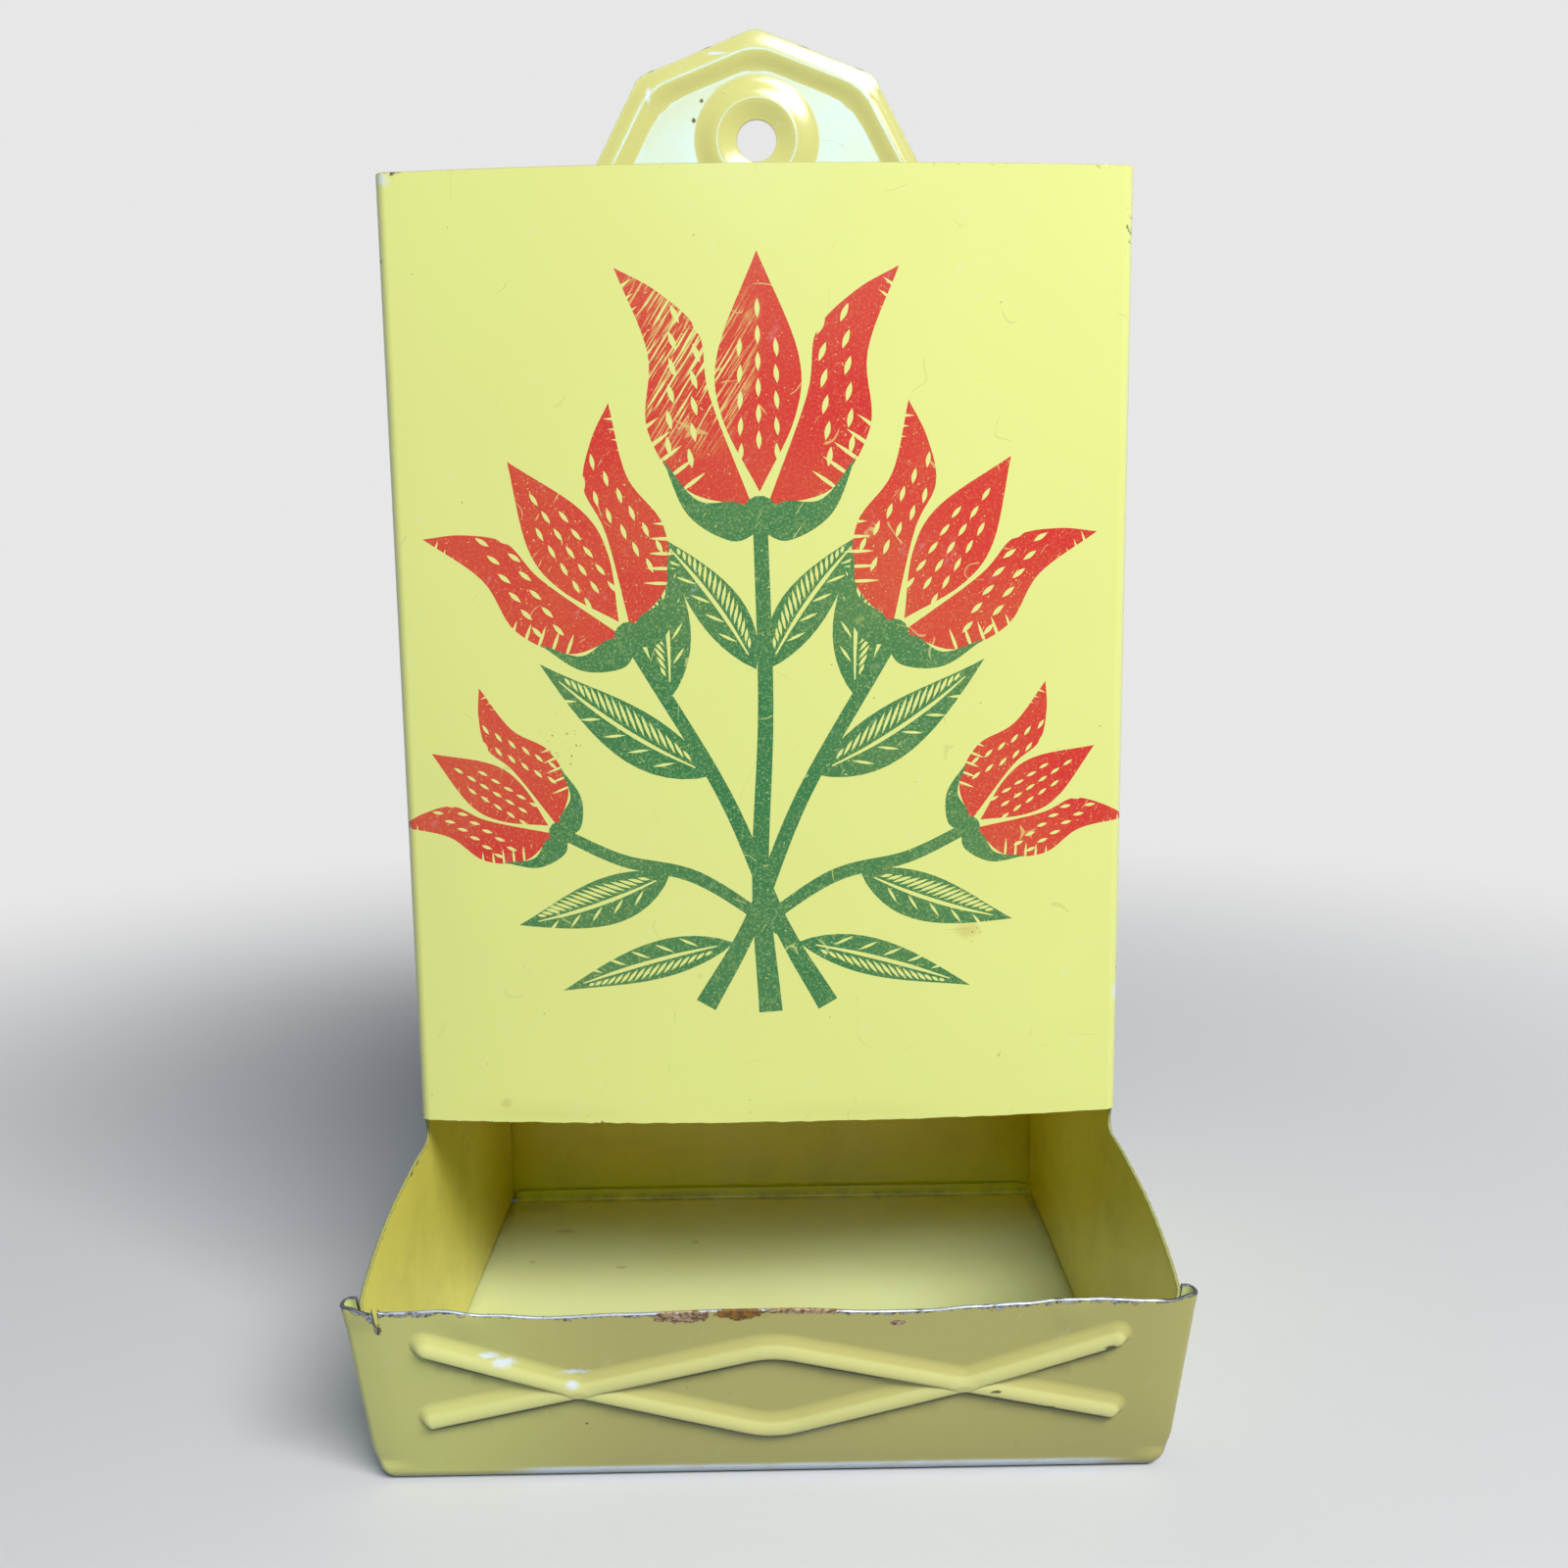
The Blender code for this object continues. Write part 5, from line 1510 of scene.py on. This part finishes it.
def floor():
    mesh = bpy.data.meshes.new("floor")
    corners = [(x * FLOOR_REACH, y * FLOOR_REACH, 0) for x, y in ((-1, -1), (1, -1), (1, 1), (-1, 1))]
    mesh.from_pydata(corners, [], [(0, 1, 2, 3)])
    n = material("pale_floor")
    values = {"Base Color": view_only_mix(n, *FLOOR), "Roughness": FLOOR_ROUGHNESS,
              "Specular IOR Level": FLOOR_SPECULAR}
    lit = n.feed(n.tree.nodes["Principled BSDF"], values)
    # Far from the object the floor fades into the backdrop
    glow = n.feed(n.make("Emission"), {"Color": view_only_mix(n, *BACKDROP)})
    both = n.feed(n.make("MixShader"), (n.vector("LENGTH", n.point).ramp(*FLOOR_FADE), lit, glow))
    n.put(n.tree.nodes["Material Output"].inputs["Surface"], both)
    mesh.materials.append(n.owner)
    return add("floor", mesh)


def world():
    n = Nodes(bpy.data.worlds.new("studio"))
    n.put(n.tree.nodes["Background"].inputs["Color"], view_only_mix(n, *BACKDROP))
    bpy.context.scene.world = n.owner


def softbox(name, azimuth, elevation, distance, size, power, aim, shade):
    """A rectangular lamp aimed at a point. Azimuth runs from the front towards +X."""
    lamp = bpy.data.lights.new(name, "AREA")
    lamp.shape = "RECTANGLE"
    lamp.size, lamp.size_y = size
    lamp.energy = power
    lamp.color = shade
    piece = add(name, lamp)
    a, e = math.radians(azimuth), math.radians(elevation)
    away = Vector((math.sin(a) * math.cos(e), -math.cos(a) * math.cos(e), math.sin(e)))
    piece.location = Vector(aim) + away * distance
    piece.rotation_euler = away.to_track_quat("Z", "Y").to_euler()


def camera():
    yaw, pitch, roll = CAMERA_YAW, CAMERA_PITCH, CAMERA_ROLL
    ahead = Vector((math.sin(yaw) * math.cos(pitch), math.cos(yaw) * math.cos(pitch), -math.sin(pitch)))
    level = Vector((math.cos(yaw), -math.sin(yaw), 0))
    upright = level.cross(ahead)
    right = level * math.cos(roll) + upright * math.sin(roll)
    up = upright * math.cos(roll) - level * math.sin(roll)
    lens = bpy.data.cameras.new("camera")
    lens.sensor_width = SENSOR
    lens.lens = CAMERA_FOCUS / PHOTO_WIDTH * SENSOR
    lens.clip_start = NEAREST_SEEN
    piece = add("camera", lens)
    rotation = Matrix((right, up, -ahead)).transposed().to_4x4()
    piece.matrix_world = Matrix.Translation(Vector(CAMERA_PLACE) * MM) @ rotation
    bpy.context.scene.camera = piece


def main():
    panel = lacquer("yellow_lacquer", YELLOW, chips=0.05, folds=True, stains=PANEL_STAINS,
                    smudges=PANEL_SMUDGES, pits=PANEL_PITS, strokes=PANEL_STROKES, bare=PANEL_CHIPS)
    red = lacquer("red_print", YELLOW, ink=RED, grain=0.16, stains=PANEL_STAINS)
    green = lacquer("green_print", YELLOW, ink=GREEN, grain=0.4, stains=PANEL_STAINS)
    inner = lacquer("inner_lacquer", SHADED_INNER_YELLOW, inside=True)
    edge = cut_edge("body_edge")
    plain = lacquer("back_lacquer", YELLOW, chips=0.05)
    hanger = lacquer("hanger_lacquer", SHADED_HANGER_YELLOW, gloss=HANGER_GLOSS, bare=HANGER_CHIPS,
                     pits=HANGER_PITS)
    apron = lacquer("apron_lacquer", SHADED_APRON_YELLOW, chips=0.45, ribs=True, rust=APRON_RUST, pits=APRON_PITS,
                    bare=APRON_CHIPS)
    tray_inner = lacquer("tray_inner_lacquer", SHADED_INNER_YELLOW, chips=-0.5, inside=True, dust_and_light=True,
                         smudges=FLOOR_SMUDGES)
    tray_edge = cut_edge("tray_edge", APRON_RUST)
    backs = (INSIDE, INSIDE, INSIDE)
    built = (
        (body_shell([panel, red, green, inner, edge], backs), "body_wrap"),
        (back_sheet([plain, hanger, plain, inner, edge], (PLAIN, PLAIN, PLAIN, PLAIN)), "back_panel"),
        (tray_shell([apron, red, green, tray_inner, tray_edge], backs), "tray"),
    )
    for piece, node in built:
        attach(piece, "root")
        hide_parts(node)
    floor()
    world()
    softbox("key", *KEY_LAMP)
    softbox("glare", *GLARE_LAMP)
    camera()
    bpy.context.scene.view_settings.view_transform = "Standard"


main()
